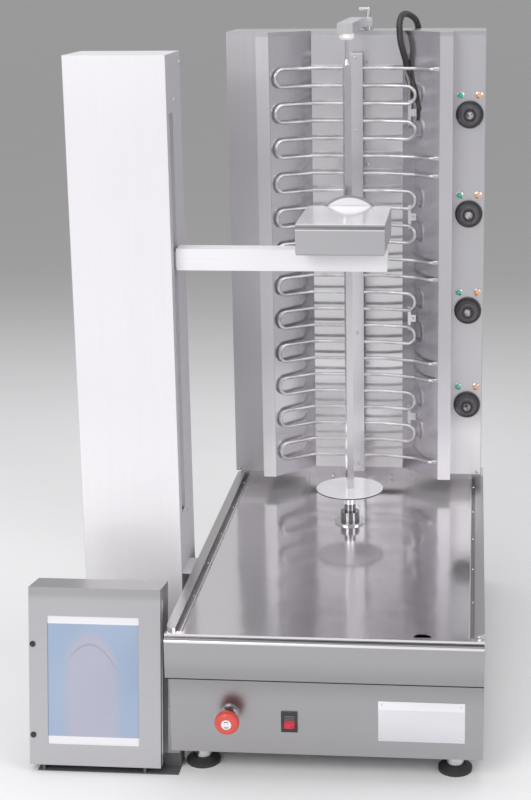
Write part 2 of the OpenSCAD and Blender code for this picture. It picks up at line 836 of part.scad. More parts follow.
module wall_posts() {
  color("gainsboro") place() both_sides() difference() {
    block([post_in, post_face, wall_z0], [post_out, panel_face, wall_z1]);
    block([post_in - eps, post_face + sheet, wall_z0 - eps],
      [post_out - sheet, panel_face + eps, wall_z1 + eps]);
  }
}

module panel_plate() {
  block([post_out, panel_face, wall_z0 + sheet], [side_half - sheet, panel_face + sheet, wall_z1]);
  // return flange behind the post
  block([post_out, panel_face, wall_z0 + sheet], [post_out + sheet, panel_face + 14, wall_z1]);
}

module side_panel() {
  color("silver") place() mirror([1, 0, 0]) panel_plate();
}

knob_z = [for (k = [0:elements - 1]) knob_low_z + k * knob_pitch];

module control_panel() {
  color("silver") place() difference() {
    panel_plate();
    for (z = knob_z) {
      bar_y(knob_x, panel_face - eps, panel_face + sheet + eps, z, spindle_r + 2);
      for (s = [-1, 1])
        bar_y(knob_x + s * lamp_dx, panel_face - eps, panel_face + sheet + eps, z + lamp_dz, lamp_r - 2);
    }
  }
}

// --- heating elements ---

// One element is a tube bent six times up and down between the wings.
left_end = [-bend_left - left_run * cos(left_turn), leg_plane - left_run * sin(left_turn)];
right_end = [bend_right + right_run * cos(right_turn), leg_plane - right_run * sin(right_turn)];
terminal_y = post_face + 8;
outer_leg = [[post_in + 12, terminal_y], [post_in - 18, terminal_y], [bend_right + 62, leg_plane - 19],
  [bend_right, leg_plane], [-bend_left, leg_plane], left_end];
inner_leg = [right_end, [bend_right, leg_plane], [-bend_left, leg_plane], left_end];
terminal_z = [for (k = [0:elements - 1], j = [0, 5]) low_leg_z + leg_pitch * (6 * k + j)];

function backwards(p) = [for (i = [len(p) - 1:-1:0]) p[i]];
// The inner points of a path, each turned into a short bend.
function bent(p, cut) = [for (i = [0:len(p) - 1]) each i == 0 || i == len(p) - 1 ? [p[i]] :
  let (a = p[i] + cut * unit(p[i - 1] - p[i]), b = p[i] + cut * unit(p[i + 1] - p[i]))
    [a, (a + b) / 4 + p[i] / 2, b]];
function leg(p, z) = [for (q = bent(p, 4)) [q[0], q[1], z]];
// The half turn that joins two legs at one end.
function half_turn(c, angle, z) = let (r = leg_pitch / 2)
  [for (a = [-60:30:60])
    [c[0] + r * cos(a) * cos(angle), c[1] + r * cos(a) * sin(angle), z + r * sin(a)]];
function element(z) = [for (j = [0:5]) each concat(
  leg(j == 0 ? outer_leg : j == 5 ? backwards(outer_leg) : j % 2 == 0 ? inner_leg : backwards(inner_leg),
    z + j * leg_pitch),
  j == 5 ? [] : j % 2 == 0 ? half_turn(left_end, 180 + left_turn, z + (j + 0.5) * leg_pitch)
    : half_turn(right_end, -right_turn, z + (j + 0.5) * leg_pitch))];

module heating_elements() {
  color("lightgray") place() for (k = [0:elements - 1])
    swept(element(low_leg_z + 6 * k * leg_pitch), tube_r, 8, [0, 1, 0]);
}

module element_ferrules() {
  color("ivory") place() for (z = terminal_z) difference() {
    bar_x(post_in - 11, post_in + 6, terminal_y, z, ferrule_r);
    bar_x(post_in - 11 - eps, post_in + 6 + eps, terminal_y, z, tube_r);
  }
}

strap_y = leg_plane - tube_r - sheet;
// the clips lie just behind the inner tubes' right bends
clip_x = right_end[0] + 5.5;
clip_y = right_end[1] + tube_r - 0.3;
clip_screw_x = clip_x + 8;

module element_straps() {
  x0 = strap_x - strap_w / 2;
  x1 = strap_x + strap_w / 2;
  color("gainsboro") place() {
    difference() {
      union() {
        block([x0, strap_y, wall_z0], [x1, strap_y + sheet, wall_z1 - strap_top]);
        for (x = [x0, x1 - 1]) block([x, strap_y - 3, wall_z0 + 4],
          [x + 1, strap_y + eps, wall_z1 - strap_top - 43]);
        for (z = strap_screw_z) bar_y(strap_x - 1, strap_y + sheet - 0.5, reflector_mid, z, 4);
      }
    }
    for (z = clip_z) union() {
      block([clip_x - 3, clip_y, z - 0.7 * leg_pitch], [clip_x + 3, clip_y + 1.2, z + 0.7 * leg_pitch]);
      block([clip_x - 3, clip_y, z - 7], [clip_screw_x + 5, clip_y + 1.2, z + 7]);
      bar_y(clip_screw_x, clip_y + 1, wing_y(clip_screw_x) - 3, z, 2.5);
    }
  }
}

// --- knobs, regulators, lamps ---

module knob(z) {
  front = panel_face - 22;
  color("black") place() difference() {
    union() {
      translate([knob_x, panel_face - seat, z]) rotate([90, 0, 0]) rotate_extrude()
        polygon([[0, 0], [knob_r, 0], [knob_r, 5], [knob_r - 2, 8], [knob_r - 8, 9], [knob_r - 9, 18],
          [knob_r - 11, 20], [0, 20]]);
      block([knob_x - 4.5, front - 1.5, z - 16], [knob_x + 4.5, front + 4, z + 16]);
      bar_y(knob_x, panel_face - seat - eps, panel_face + 26, z, spindle_r);
    }
    block([knob_x - 0.8, front - 2.5, z + 6], [knob_x + 0.8, front - 0.5, z + 17]);
  }
}

module knob_1() { knob(knob_z[3]); }
module knob_2() { knob(knob_z[2]); }
module knob_3() { knob(knob_z[1]); }
module knob_4() { knob(knob_z[0]); }

module energy_regulators() {
  y0 = panel_face + sheet;
  color("beige") place() for (z = knob_z) difference() {
    union() {
      block([knob_x - regulator_w / 2, y0 + 2, z - regulator_w / 2],
        [knob_x + regulator_w / 2, y0 + 2 + regulator_d, z + regulator_w / 2]);
      bar_y(knob_x, y0, y0 + 3, z, 6);
    }
    bar_y(knob_x, y0 - eps, y0 + 27, z, spindle_r + run_clear);
  }
}

module pilot_lamps() {
  color("seagreen") place() for (z = knob_z, s = [-1, 1])
    translate([knob_x + s * lamp_dx, panel_face, z + lamp_dz]) rotate([90, 0, 0]) rotate_extrude()
      polygon([[0, -lamp_l], [lamp_r - 2, -lamp_l], [lamp_r - 2, 0], [lamp_r, 0], [lamp_r, 1.5],
        [lamp_r - 1.6, 2.2], [lamp_r - 2, 4.5], [lamp_r - 4.5, 6], [0, 6]]);
}

// --- tower ---

tower_x1 = -tower_x;
tower_x0 = -tower_x - tower_w;
slot_y = tower_y + slot_in;
plate_t = 6;
top_plate_z = tower_h - 30;
screw_cx = tower_x1 - 72;
screw_cy = tower_y + 74;
rod_dx = 34;

module tower_shell() {
  color("whitesmoke") place() union() {
    difference() {
      block([tower_x0, tower_y, 0], [tower_x1, tower_y + tower_d, tower_h]);
      block([tower_x0 + sheet, tower_y + sheet, -eps],
        [tower_x1 - sheet, tower_y + tower_d - sheet, tower_h - sheet]);
      block([tower_x1 - sheet - eps, slot_y - slot_w / 2, slot_z0],
        [tower_x1 + eps, slot_y + slot_w / 2, slot_z1]);
    }
    // the slot's folded-in edges
    for (s = [-1, 1])
      block([tower_x1 - 10, slot_y + s * (slot_w / 2 + 0.6) - 0.6, slot_z0],
        [tower_x1 - sheet / 2, slot_y + s * (slot_w / 2 + 0.6) + 0.6, slot_z1]);
    // the tab that ties the tower to the base's side
    block([tower_x1 - eps, tower_y + 6, deck_z], [-half_w, tower_y + 78, deck_z + 2]);
    block([-half_w - 2, tower_y + 6, deck_z - 24], [-half_w, tower_y + 78, deck_z + 2]);
  }
}

module tower_plates() {
  x0 = tower_x0 + sheet;
  x1 = tower_x1 - sheet;
  y0 = tower_y + sheet;
  y1 = tower_y + tower_d - sheet;
  color("dimgray") place() {
    block([x0, y0, 0], [x1, y1, plate_t]);
    difference() {
      block([x0, y0, top_plate_z], [x1, y1, top_plate_z + plate_t]);
      bar_z(screw_cx, screw_cy, top_plate_z - eps, top_plate_z + plate_t + eps,
        screw_r * 0.6 + run_clear);
      for (s = [-1, 1])
        bar_z(screw_cx + s * rod_dx, screw_cy, top_plate_z - eps, top_plate_z + plate_t + eps, rod_r);
    }
  }
}

module guide_rods() {
  color("silver") place() for (s = [-1, 1])
    bar_z(screw_cx + s * rod_dx, screw_cy, plate_t, top_plate_z + plate_t, rod_r);
}

lift_top = plate_t + 90;

module lift_motor() {
  color("dimgray") place() difference() {
    block([screw_cx - 24, screw_cy - 28, plate_t], [screw_cx + 24, screw_cy + 28, lift_top]);
    bar_z(screw_cx, screw_cy, lift_top - 24, lift_top + eps, screw_r * 0.6 + run_clear);
  }
}

module lead_screw() {
  color("gray") place() {
    bar_z(screw_cx, screw_cy, lift_top - 23, top_plate_z + plate_t - 1, screw_r * 0.6);
    bar_z(screw_cx, screw_cy, lift_top + seat, top_plate_z - seat, screw_r);
  }
}

carriage_z0 = beam_z - 4;
carriage_z1 = beam_z + beam_h + 4;
carriage_x1 = tower_x1 - carriage_gap;
tongue_y0 = beam_y + beam_wall;
tongue_z0 = beam_z + (beam_h - tongue_h) / 2;

module carriage() {
  color("darkgray") place() difference() {
    union() {
      block([screw_cx - rod_dx - 18, screw_cy - 20, carriage_z0],
        [carriage_x1, screw_cy + 22, carriage_z1]);
      block([carriage_x1 - 22, tongue_y0, tongue_z0], [carriage_x1, screw_cy - 19, tongue_z0 + tongue_h]);
      block([carriage_x1 - 22, tongue_y0, tongue_z0],
        [tower_x1 + tongue_l, tongue_y0 + tongue_w, tongue_z0 + tongue_h]);
    }
    bar_z(screw_cx, screw_cy, carriage_z0 - eps, carriage_z1 + eps, screw_r + run_clear);
    for (s = [-1, 1])
      bar_z(screw_cx + s * rod_dx, screw_cy, carriage_z0 - eps, carriage_z1 + eps, rod_r + run_clear);
  }
}

// --- arm and slicing head ---

beam_x0 = tower_x1 + 3.5;
beam_top = beam_z + beam_h;

module arm_beam() {
  w = beam_wall;
  color("whitesmoke") place() difference() {
    block([beam_x0, beam_y, beam_z], [beam_end, beam_y + beam_d, beam_top]);
    block([beam_x0 + w, beam_y + w, beam_z + w], [beam_end - w, beam_y + beam_d - w, beam_top - w]);
    block([beam_x0 - eps, tongue_y0, tongue_z0],
      [beam_x0 + w + eps, tongue_y0 + tongue_w, tongue_z0 + tongue_h]);
  }
}

head_z = beam_top + head_gap;
head_x1 = head_x0 + head_w;
head_y1 = head_y + head_d;
head_top = head_z + head_h;
skin = sheet;
block_y0 = beam_y + (beam_d - block_l) / 2;
block_x = [head_x0 + 26, head_x1 - 26];
slide_z = head_z + 13;
blade_x = head_x0 + head_w / 2;
blade_z = head_z + blade_up;
blade_y = head_y1 + 2;

module slide_blocks() {
  color("dimgray") place() for (x = block_x) difference() {
    block([x - 8, block_y0, beam_top], [x + 8, block_y0 + block_l, slide_z + slide_r + 5]);
    bar_y(x, block_y0 - eps, block_y0 + block_l + eps, slide_z, slide_r + run_clear);
  }
}

module head_rods() {
  color("silver") place() for (x = block_x)
    bar_y(x, head_y + 2 * skin, head_y1 - skin, slide_z, slide_r);
}

module head_base() {
  x0 = head_x0 + skin;
  x1 = head_x1 - skin;
  y0 = head_y + skin;
  wall_top = head_top - head_roll - 1;
  slot_y0 = block_y0 - feed_in - 3;
  slot_y1 = block_y0 + block_l + feed_back + 3;
  color("gray") place() difference() {
    block([x0, y0, head_z], [x1, head_y1, wall_top]);
    block([x0 + skin, y0 + skin, head_z + skin], [x1 - skin, head_y1 - skin, head_top]);
    for (x = block_x)
      block([x - 10, slot_y0, head_z - eps], [x + 10, slot_y1, head_z + 2 * skin]);
    bar_y(blade_x, head_y1 - 2 * skin, head_y1 + eps, blade_z, blade_shaft_r + 2);
  }
}

// A block whose top front edge is rolled over.
module rolled_block(lo, hi, r) {
  block(lo, [hi[0], hi[1], hi[2] - r]);
  block([lo[0], lo[1] + r, lo[2]], hi);
  bar_x(lo[0], hi[0], lo[1] + r, hi[2] - r, r);
}

module head_lid() {
  low = head_top - lid_lip;
  color("lightgray") place() difference() {
    rolled_block([head_x0, head_y, low], [head_x1, head_y1, head_top], head_roll);
    rolled_block([head_x0 + skin, head_y + skin, low - eps],
      [head_x1 - skin, head_y1 + eps, head_top - skin], head_roll - skin);
  }
}

gear_z = head_z + skin + 0.5 + blade_gear_r;

module blade_motor() {
  y1 = head_y1 - skin;
  color("dimgray") place() difference() {
    union() {
      bar_y(blade_x, y1 - 95, y1 - 30, gear_z, blade_gear_r - 2);
      bar_y(blade_x, y1 - 31, y1, gear_z, blade_gear_r);
    }
    bar_y(blade_x, y1 - 22, y1 + eps, blade_z, blade_shaft_r + run_clear);
  }
}

module blade_spindle() {
  color("silver") place() union() {
    bar_y(blade_x, head_y1 - skin - 21, blade_y + blade_t + 5, blade_z, blade_shaft_r);
    bar_y(blade_x, head_y1 + seat + 0.2, blade_y, blade_z, 11);
    translate([blade_x, blade_y + blade_t, blade_z]) rotate([-90, 0, 0]) cylinder(h = 4, r = 7, $fn = 6);
  }
}

module blade() {
  flat = blade_r - blade_bevel;
  color("whitesmoke") place() difference() {
    translate([blade_x, blade_y + blade_t, blade_z]) rotate([90, 0, 0]) rotate_extrude()
      polygon([[0, 0], [flat, 0], [blade_r, blade_t - 0.4], [blade_r, blade_t], [0, blade_t]]);
    bar_y(blade_x, blade_y - eps, blade_y + blade_t + eps, blade_z, blade_shaft_r);
  }
}

// --- control box ---

// The box's own frame: X across, Y into the box, Z up the leaning face.
module tilted() {
  place() translate([box_x0, box_y0, box_z0]) rotate([-box_tilt, 0, 0]) children();
}

knuckle_r = 1.8;
door_gap = 0.4;
seam = door_d + door_gap / 2;
knuckle_z = [20, 80, box_h - 80, box_h - 20];

module hinge_notch() {
  translate([box_w, seam, -eps]) cylinder(h = box_h + 2 * eps, r = knuckle_r + 0.3, $fn = 32);
}

module control_box() {
  y0 = door_d + door_gap;
  color("lightgray") tilted() {
    difference() {
      block([0, y0, 0], [box_w, box_d, box_h]);
      block([sheet, y0 - eps, sheet], [box_w - sheet, box_d - sheet, box_h - sheet]);
      hinge_notch();
    }
    for (z = [knuckle_z[0], knuckle_z[2]]) difference() {
      union() {
        translate([box_w, seam, z]) cylinder(h = 60, r = knuckle_r, $fn = 32);
        block([box_w - knuckle_r, y0 - 0.2, z], [box_w, y0 + 4, z + 60]);
      }
      translate([box_w, seam, z - eps]) cylinder(h = 60 + 2 * eps, r = 0.8, $fn = 32);
    }
    translate([box_w, seam, knuckle_z[0]]) cylinder(h = knuckle_z[3] - knuckle_z[0], r = 0.8, $fn = 32);
  }
}

module box_door() {
  back = door_d;
  mid_z0 = knuckle_z[1] + seat;
  mid_z1 = knuckle_z[2] - seat;
  color("lightgray") tilted() difference() {
    union() {
      difference() {
        block([0, 0, 0], [box_w, back, box_h]);
        block([sheet, sheet, sheet], [box_w - sheet, back + eps, box_h - sheet]);
        hinge_notch();
      }
      // the pan behind the touch panel
      block([screen_in - sheet, 0, screen_up - sheet],
        [screen_in + screen_w + sheet, screen_recess + sheet, screen_up + screen_h + sheet]);
      translate([box_w, seam, mid_z0]) cylinder(h = mid_z1 - mid_z0, r = knuckle_r, $fn = 32);
      block([box_w - knuckle_r, back - 3, mid_z0], [box_w, back + 0.2, mid_z1]);
    }
    block([screen_in, -eps, screen_up], [screen_in + screen_w, screen_recess, screen_up + screen_h]);
    translate([box_w, seam, mid_z0 - eps])
      cylinder(h = mid_z1 - mid_z0 + 2 * eps, r = 0.8 + run_clear, $fn = 32);
    for (z = lock_up) translate([lock_in, -eps, z]) rotate([-90, 0, 0])
      cylinder(h = 10, r = 2.5 + run_clear);
  }
}

module touch_panel() {
  color("lightblue") tilted()
    block([screen_in, screen_recess - 1, screen_up],
      [screen_in + screen_w, screen_recess, screen_up + screen_h]);
}

lock_in = 6.5;

module door_lock(z) {
  color("black") tilted() translate([lock_in, 0, z]) {
    difference() {
      union() {
        translate([0, -0.2, 0]) rotate([90, 0, 0]) rotate_extrude()
          polygon([[0, 0], [lock_r, 0], [lock_r, 0.8], [lock_r * 0.7, 2], [0, 2.4]]);
        translate([0, -0.5, 0]) rotate([-90, 0, 0]) cylinder(h = 9, r = 2.5);
      }
      block([-lock_r, -4, -0.6], [lock_r, -1.6, 0.6]);
    }
    block([-2, 7, -2], [9, 8.5, 2]);
  }
}

module lock_low() { door_lock(lock_up[0]); }
module lock_high() { door_lock(lock_up[1]); }

module box_bracket() {
  web_x = -half_w + 12;
  y1 = 46;
  low = box_z0 * cos(box_tilt);
  color("gray") place() union() {
    block([box_x0 + 12, -12, 0], [web_x, y1, sheet]);
    // wedges under the leaning box
    for (x = [box_x0 + 20, box_x0 + box_w - 30])
      translate([x, 0, 0]) rotate([90, 0, 90]) linear_extrude(4)
        polygon([[-11, sheet / 2], [44, sheet / 2], [44, box_z0 - (44 - box_y0) * tan(box_tilt) - 0.05],
          [-11, box_z0 - (-11 - box_y0) * tan(box_tilt) - 0.05]]);
    // the upright plate in front and the flange under the base
    block([box_x0 + box_w, 15, 0], [web_x, 15 + sheet, 24]);
    block([web_x - sheet, 15, 0], [web_x, y1, base_lift]);
    block([web_x - sheet, 15, base_lift - sheet],
      [foot_x + foot_stem_r - half_w * 2 + 56, y1, base_lift]);
  }
}

// --- front controls ---

estop_stem_r = 11;
estop_front = -estop_out;
plunger_r = 7;

module estop_body() {
  color("silver") place() difference() {
    union() {
      translate([-estop_x, 0, estop_z]) rotate([90, 0, 0]) rotate_extrude()
        polygon([[0, 0], [estop_r - 5, 0], [estop_r - 5, 5], [estop_r - 8, 9], [0, 9]]);
      bar_y(-estop_x, -eps, 14, estop_z, estop_stem_r);
      block([-estop_x - 15, 14 - eps, estop_z - 20], [-estop_x + 15, 55, estop_z + 20]);
    }
    bar_y(-estop_x, -10, 40, estop_z, plunger_r + run_clear);
  }
}

module estop_plunger() {
  color("dimgray") place() bar_y(-estop_x, estop_front + 6, 30, estop_z, plunger_r);
}

module estop_cap() {
  color("red") place() difference() {
    translate([-estop_x, estop_front, estop_z]) rotate([-90, 0, 0]) rotate_extrude()
      polygon([[0, 0], [estop_r - 6, 0], [estop_r - 2, 2], [estop_r, 6], [estop_r, 12], [estop_r - 3, 17],
        [estop_r - 8, 20], [plunger_r + 1.5, 21], [0, 21]]);
    bar_y(-estop_x, estop_front + 6 - run_clear, 0, estop_z, plunger_r + run_clear);
  }
}

rocker_well_w = bezel_w - 2 * bezel_edge;
rocker_well_h = bezel_h - 2 * bezel_edge;

module rocker_bezel() {
  color("black") place() difference() {
    union() {
      block([-rocker_x - bezel_w / 2, -3, rocker_z - bezel_h / 2],
        [-rocker_x + bezel_w / 2, 0, rocker_z + bezel_h / 2]);
      block([-rocker_x - rocker_well_w / 2, -eps, rocker_z - rocker_well_h / 2],
        [-rocker_x + rocker_well_w / 2, 26, rocker_z + rocker_well_h / 2]);
    }
    block([-rocker_x - rocker_well_w / 2 + 1, -4, rocker_z - rocker_well_h / 2 + 1],
      [-rocker_x + rocker_well_w / 2 - 1, 16, rocker_z + rocker_well_h / 2 - 1]);
    bar_x(-rocker_x - rocker_well_w / 2, -rocker_x + rocker_well_w / 2, 3, rocker_z, 1.5);
  }
}

module rocker() {
  w = rocker_well_w / 2 - 1.3;
  h = rocker_well_h / 2 - 2.4;
  // two faces that meet at the pivot, pressed at the top
  color("red") place() translate([-rocker_x, 3, rocker_z]) rotate([-rocker_tilt, 0, 0]) union() {
    translate([-w, 0, 0]) rotate([90, 0, 90]) linear_extrude(2 * w)
      polygon([[-7.6, -h], [-4.6, 0], [-7.6, h], [3, h], [3, -h]]);
    translate([-w - 0.9, 0, 0]) rotate([0, 90, 0]) cylinder(h = 2 * w + 1.8, r = 1.5 - run_clear);
  }
}

// --- supply cord ---

gland_x = 230;
gland_z = 420;

module cord_gland() {
  color("black") place() difference() {
    union() {
      translate([gland_x, base_d, gland_z]) rotate([-90, 0, 0]) cylinder(h = 6, r = gland_r + 1, $fn = 6);
      translate([gland_x, base_d, gland_z]) rotate([-90, 0, 0]) rotate_extrude()
        polygon([[0, 0], [gland_r, 0], [gland_r, gland_l - 8], [gland_r - 3, gland_l], [0, gland_l]]);
    }
    bar_y(gland_x, base_d - eps, base_d + gland_l + eps, gland_z, cord_r);
  }
}

// The sheath's route: out of the gland, down in a hanging loop, up the back and over the cap.
sheath_path = [
  [230, 876, 420], [230, 896, 420], [230, 915, 417], [230, 932, 409], [230, 946, 395], [230, 954, 377],
  [230, 957, 355], [230, 957, 325], [229, 956, 295], [226, 954, 268], [220, 950, 243], [210, 944, 222],
  [197, 935, 207], [181, 924, 200], [164, 912, 201], [148, 901, 209], [135, 892, 224], [125, 885, 244],
  [119, 879, 270], [115, 875, 300], [113, 873, 340], [112, 872, 400], [112, 871, 480], [112, 870, 580],
  [112, 870, 700], [113, 869, 820], [114, 869, 930], [115, 869, 1010], [116, 871, 1060], [117, 874, 1100],
  [117, 876, 1130], [117, 875, 1152], [115, 870, 1170], [111, 860, 1183], [105, 844, 1191],
    [98, 826, 1196],
  [92, 808, 1198], [87, 789, 1196], [84, 771, 1189], [83, 757, 1178], [84, 747, 1164], [86, 742, 1148],
  [90, 740, 1132], [94, 741, 1118], [97, 742, 1107], [98, 742, 1099], [98, 742, 1094]];

core_paths = [
  [[95.8, 744, 1094], [95.8, 744, 1089], [97, 744, 1078], [101, 742.5, 1066], [105, 740.5, 1052],
    [107, 738, 1040]],
  [[100.2, 739.8, 1094], [100.2, 739.8, 1089], [107, 737.5, 1075], [110, 735, 1062], [114, 731, 1044],
    [118.5, 727, 1028],
    [120, 726.5, 1012], [119, 727.5, 998]],
  [[95.8, 739.8, 1094], [95.8, 739.8, 1089], [101, 739.5, 1073], [104, 739, 1060], [103.5, 739.5, 1042],
    [102.5, 740.5, 1024],
    [101.5, 741.5, 1004], [100, 742.5, 983]],
  [[100.2, 744, 1094], [100.2, 744, 1089], [105, 740, 1079], [111, 734.5, 1066], [115.5, 731, 1052],
    [119, 727, 1034], [123, 723.5, 1018]]];

module cord_sheath() {
  color("black") place() swept(sheath_path, cord_r, 10, [1, 0, 0]);
}

module cord_cores() {
  color("black") place() for (path = core_paths) swept(path, core_r, 8, [1, 0, 0]);
}

base_body();
base_floor();
feet();
deck_tray();
side_rails();
screws();
drawer_front();
drawer_pan();
drawer_runners();
gear_motor();
drive_hub();
hub_flange();
spit_bar();
spit_disc();
top_bush();
top_bracket();
bracket_post();
wall_casing();
top_cap();
reflector();
wall_posts();
side_panel();
control_panel();
heating_elements();
element_straps();
element_ferrules();
knob_1();
knob_2();
knob_3();
knob_4();
energy_regulators();
pilot_lamps();
tower_shell();
tower_plates();
guide_rods();
lead_screw();
lift_motor();
carriage();
arm_beam();
slide_blocks();
head_rods();
head_base();
head_lid();
blade_motor();
blade_spindle();
blade();
control_box();
box_door();
touch_panel();
lock_low();
lock_high();
box_bracket();
estop_body();
estop_plunger();
estop_cap();
rocker_bezel();
rocker();
cord_gland();
cord_sheath();
cord_cores();
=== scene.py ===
import math

import bmesh
import bpy
from mathutils import Matrix, Vector


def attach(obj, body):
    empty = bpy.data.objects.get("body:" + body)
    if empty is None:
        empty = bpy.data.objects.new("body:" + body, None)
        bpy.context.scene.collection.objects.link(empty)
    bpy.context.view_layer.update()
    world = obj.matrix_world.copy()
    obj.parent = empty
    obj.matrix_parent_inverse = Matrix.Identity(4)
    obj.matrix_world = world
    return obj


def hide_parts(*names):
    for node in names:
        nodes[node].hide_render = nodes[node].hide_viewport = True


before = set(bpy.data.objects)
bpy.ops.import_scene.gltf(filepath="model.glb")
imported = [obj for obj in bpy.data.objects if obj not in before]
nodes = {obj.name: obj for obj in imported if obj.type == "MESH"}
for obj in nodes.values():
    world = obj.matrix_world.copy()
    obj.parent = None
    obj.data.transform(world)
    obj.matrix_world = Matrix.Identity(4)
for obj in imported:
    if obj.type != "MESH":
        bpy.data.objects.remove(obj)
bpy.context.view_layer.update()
print("frame loaded:", len(nodes), "nodes")

# Places are written as on the drawing: millimetres to the right of the base's middle (x), back from
# the front (y) and up from the floor (z). This is the drawing's zero in the frame.
zero = (117.5, -410)


def mm(value):
    return value / 1000


def at(x, y, z):
    return Vector((mm(x + zero[0]), mm(y + zero[1]), mm(z)))


# Angles in radians; focal, middle and size in pixels of the photograph.
view = {
    "place": (0.3484, -2.7411, 1.3),
    "yaw": 0.084,
    "pitch": 0.230,
    "roll": 0.008,
    "focal": 1574.3,
    "middle": (344.0, 329.3),
    "size": (531, 800),
    "sensor": 36,
    "clip": (0.05, 60),
}


def makeCamera(v):
    sy, cy = math.sin(v["yaw"]), math.cos(v["yaw"])
    sp, cp = math.sin(v["pitch"]), math.cos(v["pitch"])
    sr, cr = math.sin(v["roll"]), math.cos(v["roll"])
    ahead = Vector((-sy * cp, cy * cp, -sp))
    level = Vector((cy, sy, 0))
    upright = Vector((-sy * sp, cy * sp, cp))
    right = level * cr - upright * sr
    up = level * sr + upright * cr
    wide, tall = v["size"]
    data = bpy.data.cameras.new("camera")
    data.sensor_fit = "AUTO"
    data.sensor_width = v["sensor"]
    data.lens = v["focal"] * v["sensor"] / tall
    data.shift_x = (wide / 2 - v["middle"][0]) / tall
    data.shift_y = (v["middle"][1] - tall / 2) / tall
    data.clip_start, data.clip_end = v["clip"]
    camera = bpy.data.objects.new("camera", data)
    turn = Matrix((right, up, -ahead)).transposed().to_4x4()
    camera.matrix_world = Matrix.Translation(v["place"]) @ turn
    bpy.context.collection.objects.link(camera)
    bpy.context.scene.camera = camera


makeCamera(view)
bpy.context.scene.view_settings.view_transform = "Standard"
print("camera ready")


# One output of a shader node; sums written with it add their Math nodes.
class Wire:
    def __init__(self, paint, socket):
        self.paint = paint
        self.socket = socket

    def math(self, operation, *values):
        return self.paint.node("ShaderNodeMath", {"operation": operation}, dict(enumerate(values)))

    def __add__(self, other):
        return self.math("ADD", self, other)

    def __radd__(self, other):
        return self.math("ADD", other, self)

    def __sub__(self, other):
        return self.math("SUBTRACT", self, other)

    def __rsub__(self, other):
        return self.math("SUBTRACT", other, self)

    def __mul__(self, other):
        return self.math("MULTIPLY", self, other)

    def __rmul__(self, other):
        return self.math("MULTIPLY", other, self)

    def __truediv__(self, other):
        return self.math("DIVIDE", self, other)

    def __rtruediv__(self, other):
        return self.math("DIVIDE", other, self)

    def __mod__(self, other):
        return self.math("MODULO", self, other)

    def __abs__(self):
        return self.math("ABSOLUTE", self)

    def root(self):
        return self.math("SQRT", self)

    def wave(self):
        return self.math("SINE", self)

    def above(self, other):
        return self.math("GREATER_THAN", self, other)

    def below(self, other):
        return self.math("LESS_THAN", self, other)

    # 0 below low, 1 above high, smooth between
    def between(self, low, high):
        return self.paint.node("ShaderNodeMapRange", {"interpolation_type": "SMOOTHSTEP"},
                               {"Value": self, "From Min": low, "From Max": high})


class Paint:
    def __init__(self, name):
        self.material = bpy.data.materials.new(name)
        self.material.use_nodes = True
        self.tree = self.material.node_tree
        self.shader = self.tree.nodes["Principled BSDF"]
        self.place = self.node("ShaderNodeTexCoord", {}, {}, "Object")

    def put(self, socket, value):
        if isinstance(value, Wire):
            self.tree.links.new(value.socket, socket)
        elif isinstance(value, tuple) and socket.type == "RGBA":
            socket.default_value = (*value, 1)
        else:
            socket.default_value = value

    # a new node: its settings first, then values or wires for its sockets
    def node(self, kind, settings, sockets, out=0):
        node = self.tree.nodes.new(kind)
        for name, value in settings.items():
            setattr(node, name, value)
        for name, value in sockets.items():
            self.put(node.inputs[name], value)
        return Wire(self, node.outputs[out])

    # the place along X, Y or Z
    def along(self, name):
        return self.node("ShaderNodeSeparateXYZ", {}, {0: self.place}, name)

    # scale is counted in spots a metre along X, Y and Z
    def noise(self, scale, detail=3.0, roughness=0.55):
        if not isinstance(scale, tuple):
            scale = (scale, scale, scale)
        spots = self.node("ShaderNodeMapping", {}, {"Vector": self.place, "Scale": scale})
        return self.node("ShaderNodeTexNoise", {}, {"Vector": spots, "Scale": 1.0, "Detail": detail,
                                                    "Roughness": roughness})

    def mix(self, share, low, high, kind="MIX"):
        return self.node("ShaderNodeMix", {"data_type": "RGBA", "blend_type": kind},
                         {0: share, 6: low, 7: high}, 2)

    # distance from a point, along two axes
    def away(self, a, a0, b, b0):
        return ((a - a0) * (a - a0) + (b - b0) * (b - b0)).root()

    def feed(self, **values):
        for name, value in values.items():
            self.put(self.shader.inputs[name.replace("_", " ")], value)

    def bump(self, wire, distance):
        self.feed(Normal=self.node("ShaderNodeBump", {}, {"Height": wire, "Distance": distance}))


def shade(colour, factor):
    return tuple(min(1.0, c * factor) for c in colour)


# The cool grey of the photographed steel.
def grey(value):
    return (value, value * 0.985, min(1.0, value * 1.015))


# Spots a metre: the grain runs along the axis whose number is small.
alongX = (4, 280, 280)
alongY = (280, 4, 280)
alongZ = (280, 280, 4)
turned = (700, 700, 30)
broad = (5, 5, 3)
middleX = at(0, 0, 0).x


def steel(name, value, rough, grain=alongZ, fine=0.05, smear=0.06, depth=0.00003, metal=1.0):
    p = Paint(name)
    streak = p.noise(grain, 4.0, 0.6)
    cloud = p.noise(broad, 4.0, 0.6)
    wear = p.noise((38, 38, 22), 3.0, 0.5)
    p.feed(Base_Color=p.mix(streak * 0.55 + cloud * 0.45, shade(grey(value), 0.9),
                            shade(grey(value), 1.07)),
           Metallic=metal,
           Roughness=rough + (streak - 0.5) * fine + (cloud - 0.5) * smear + (wear - 0.5) * 0.04)
    p.bump(streak, depth)
    return p.material


def plastic(name, colour, rough, grain=900, depth=0.00002, coat=0.0):
    p = Paint(name)
    speck = p.noise(grain, 2.0, 0.5)
    cloud = p.noise(30, 3.0, 0.6)
    p.feed(Base_Color=p.mix(cloud, shade(colour, 0.8), shade(colour, 1.2)), Coat_Weight=coat,
           Roughness=rough + (speck - 0.5) * 0.12 + (cloud - 0.5) * 0.1)
    p.bump(speck, depth)
    return p.material


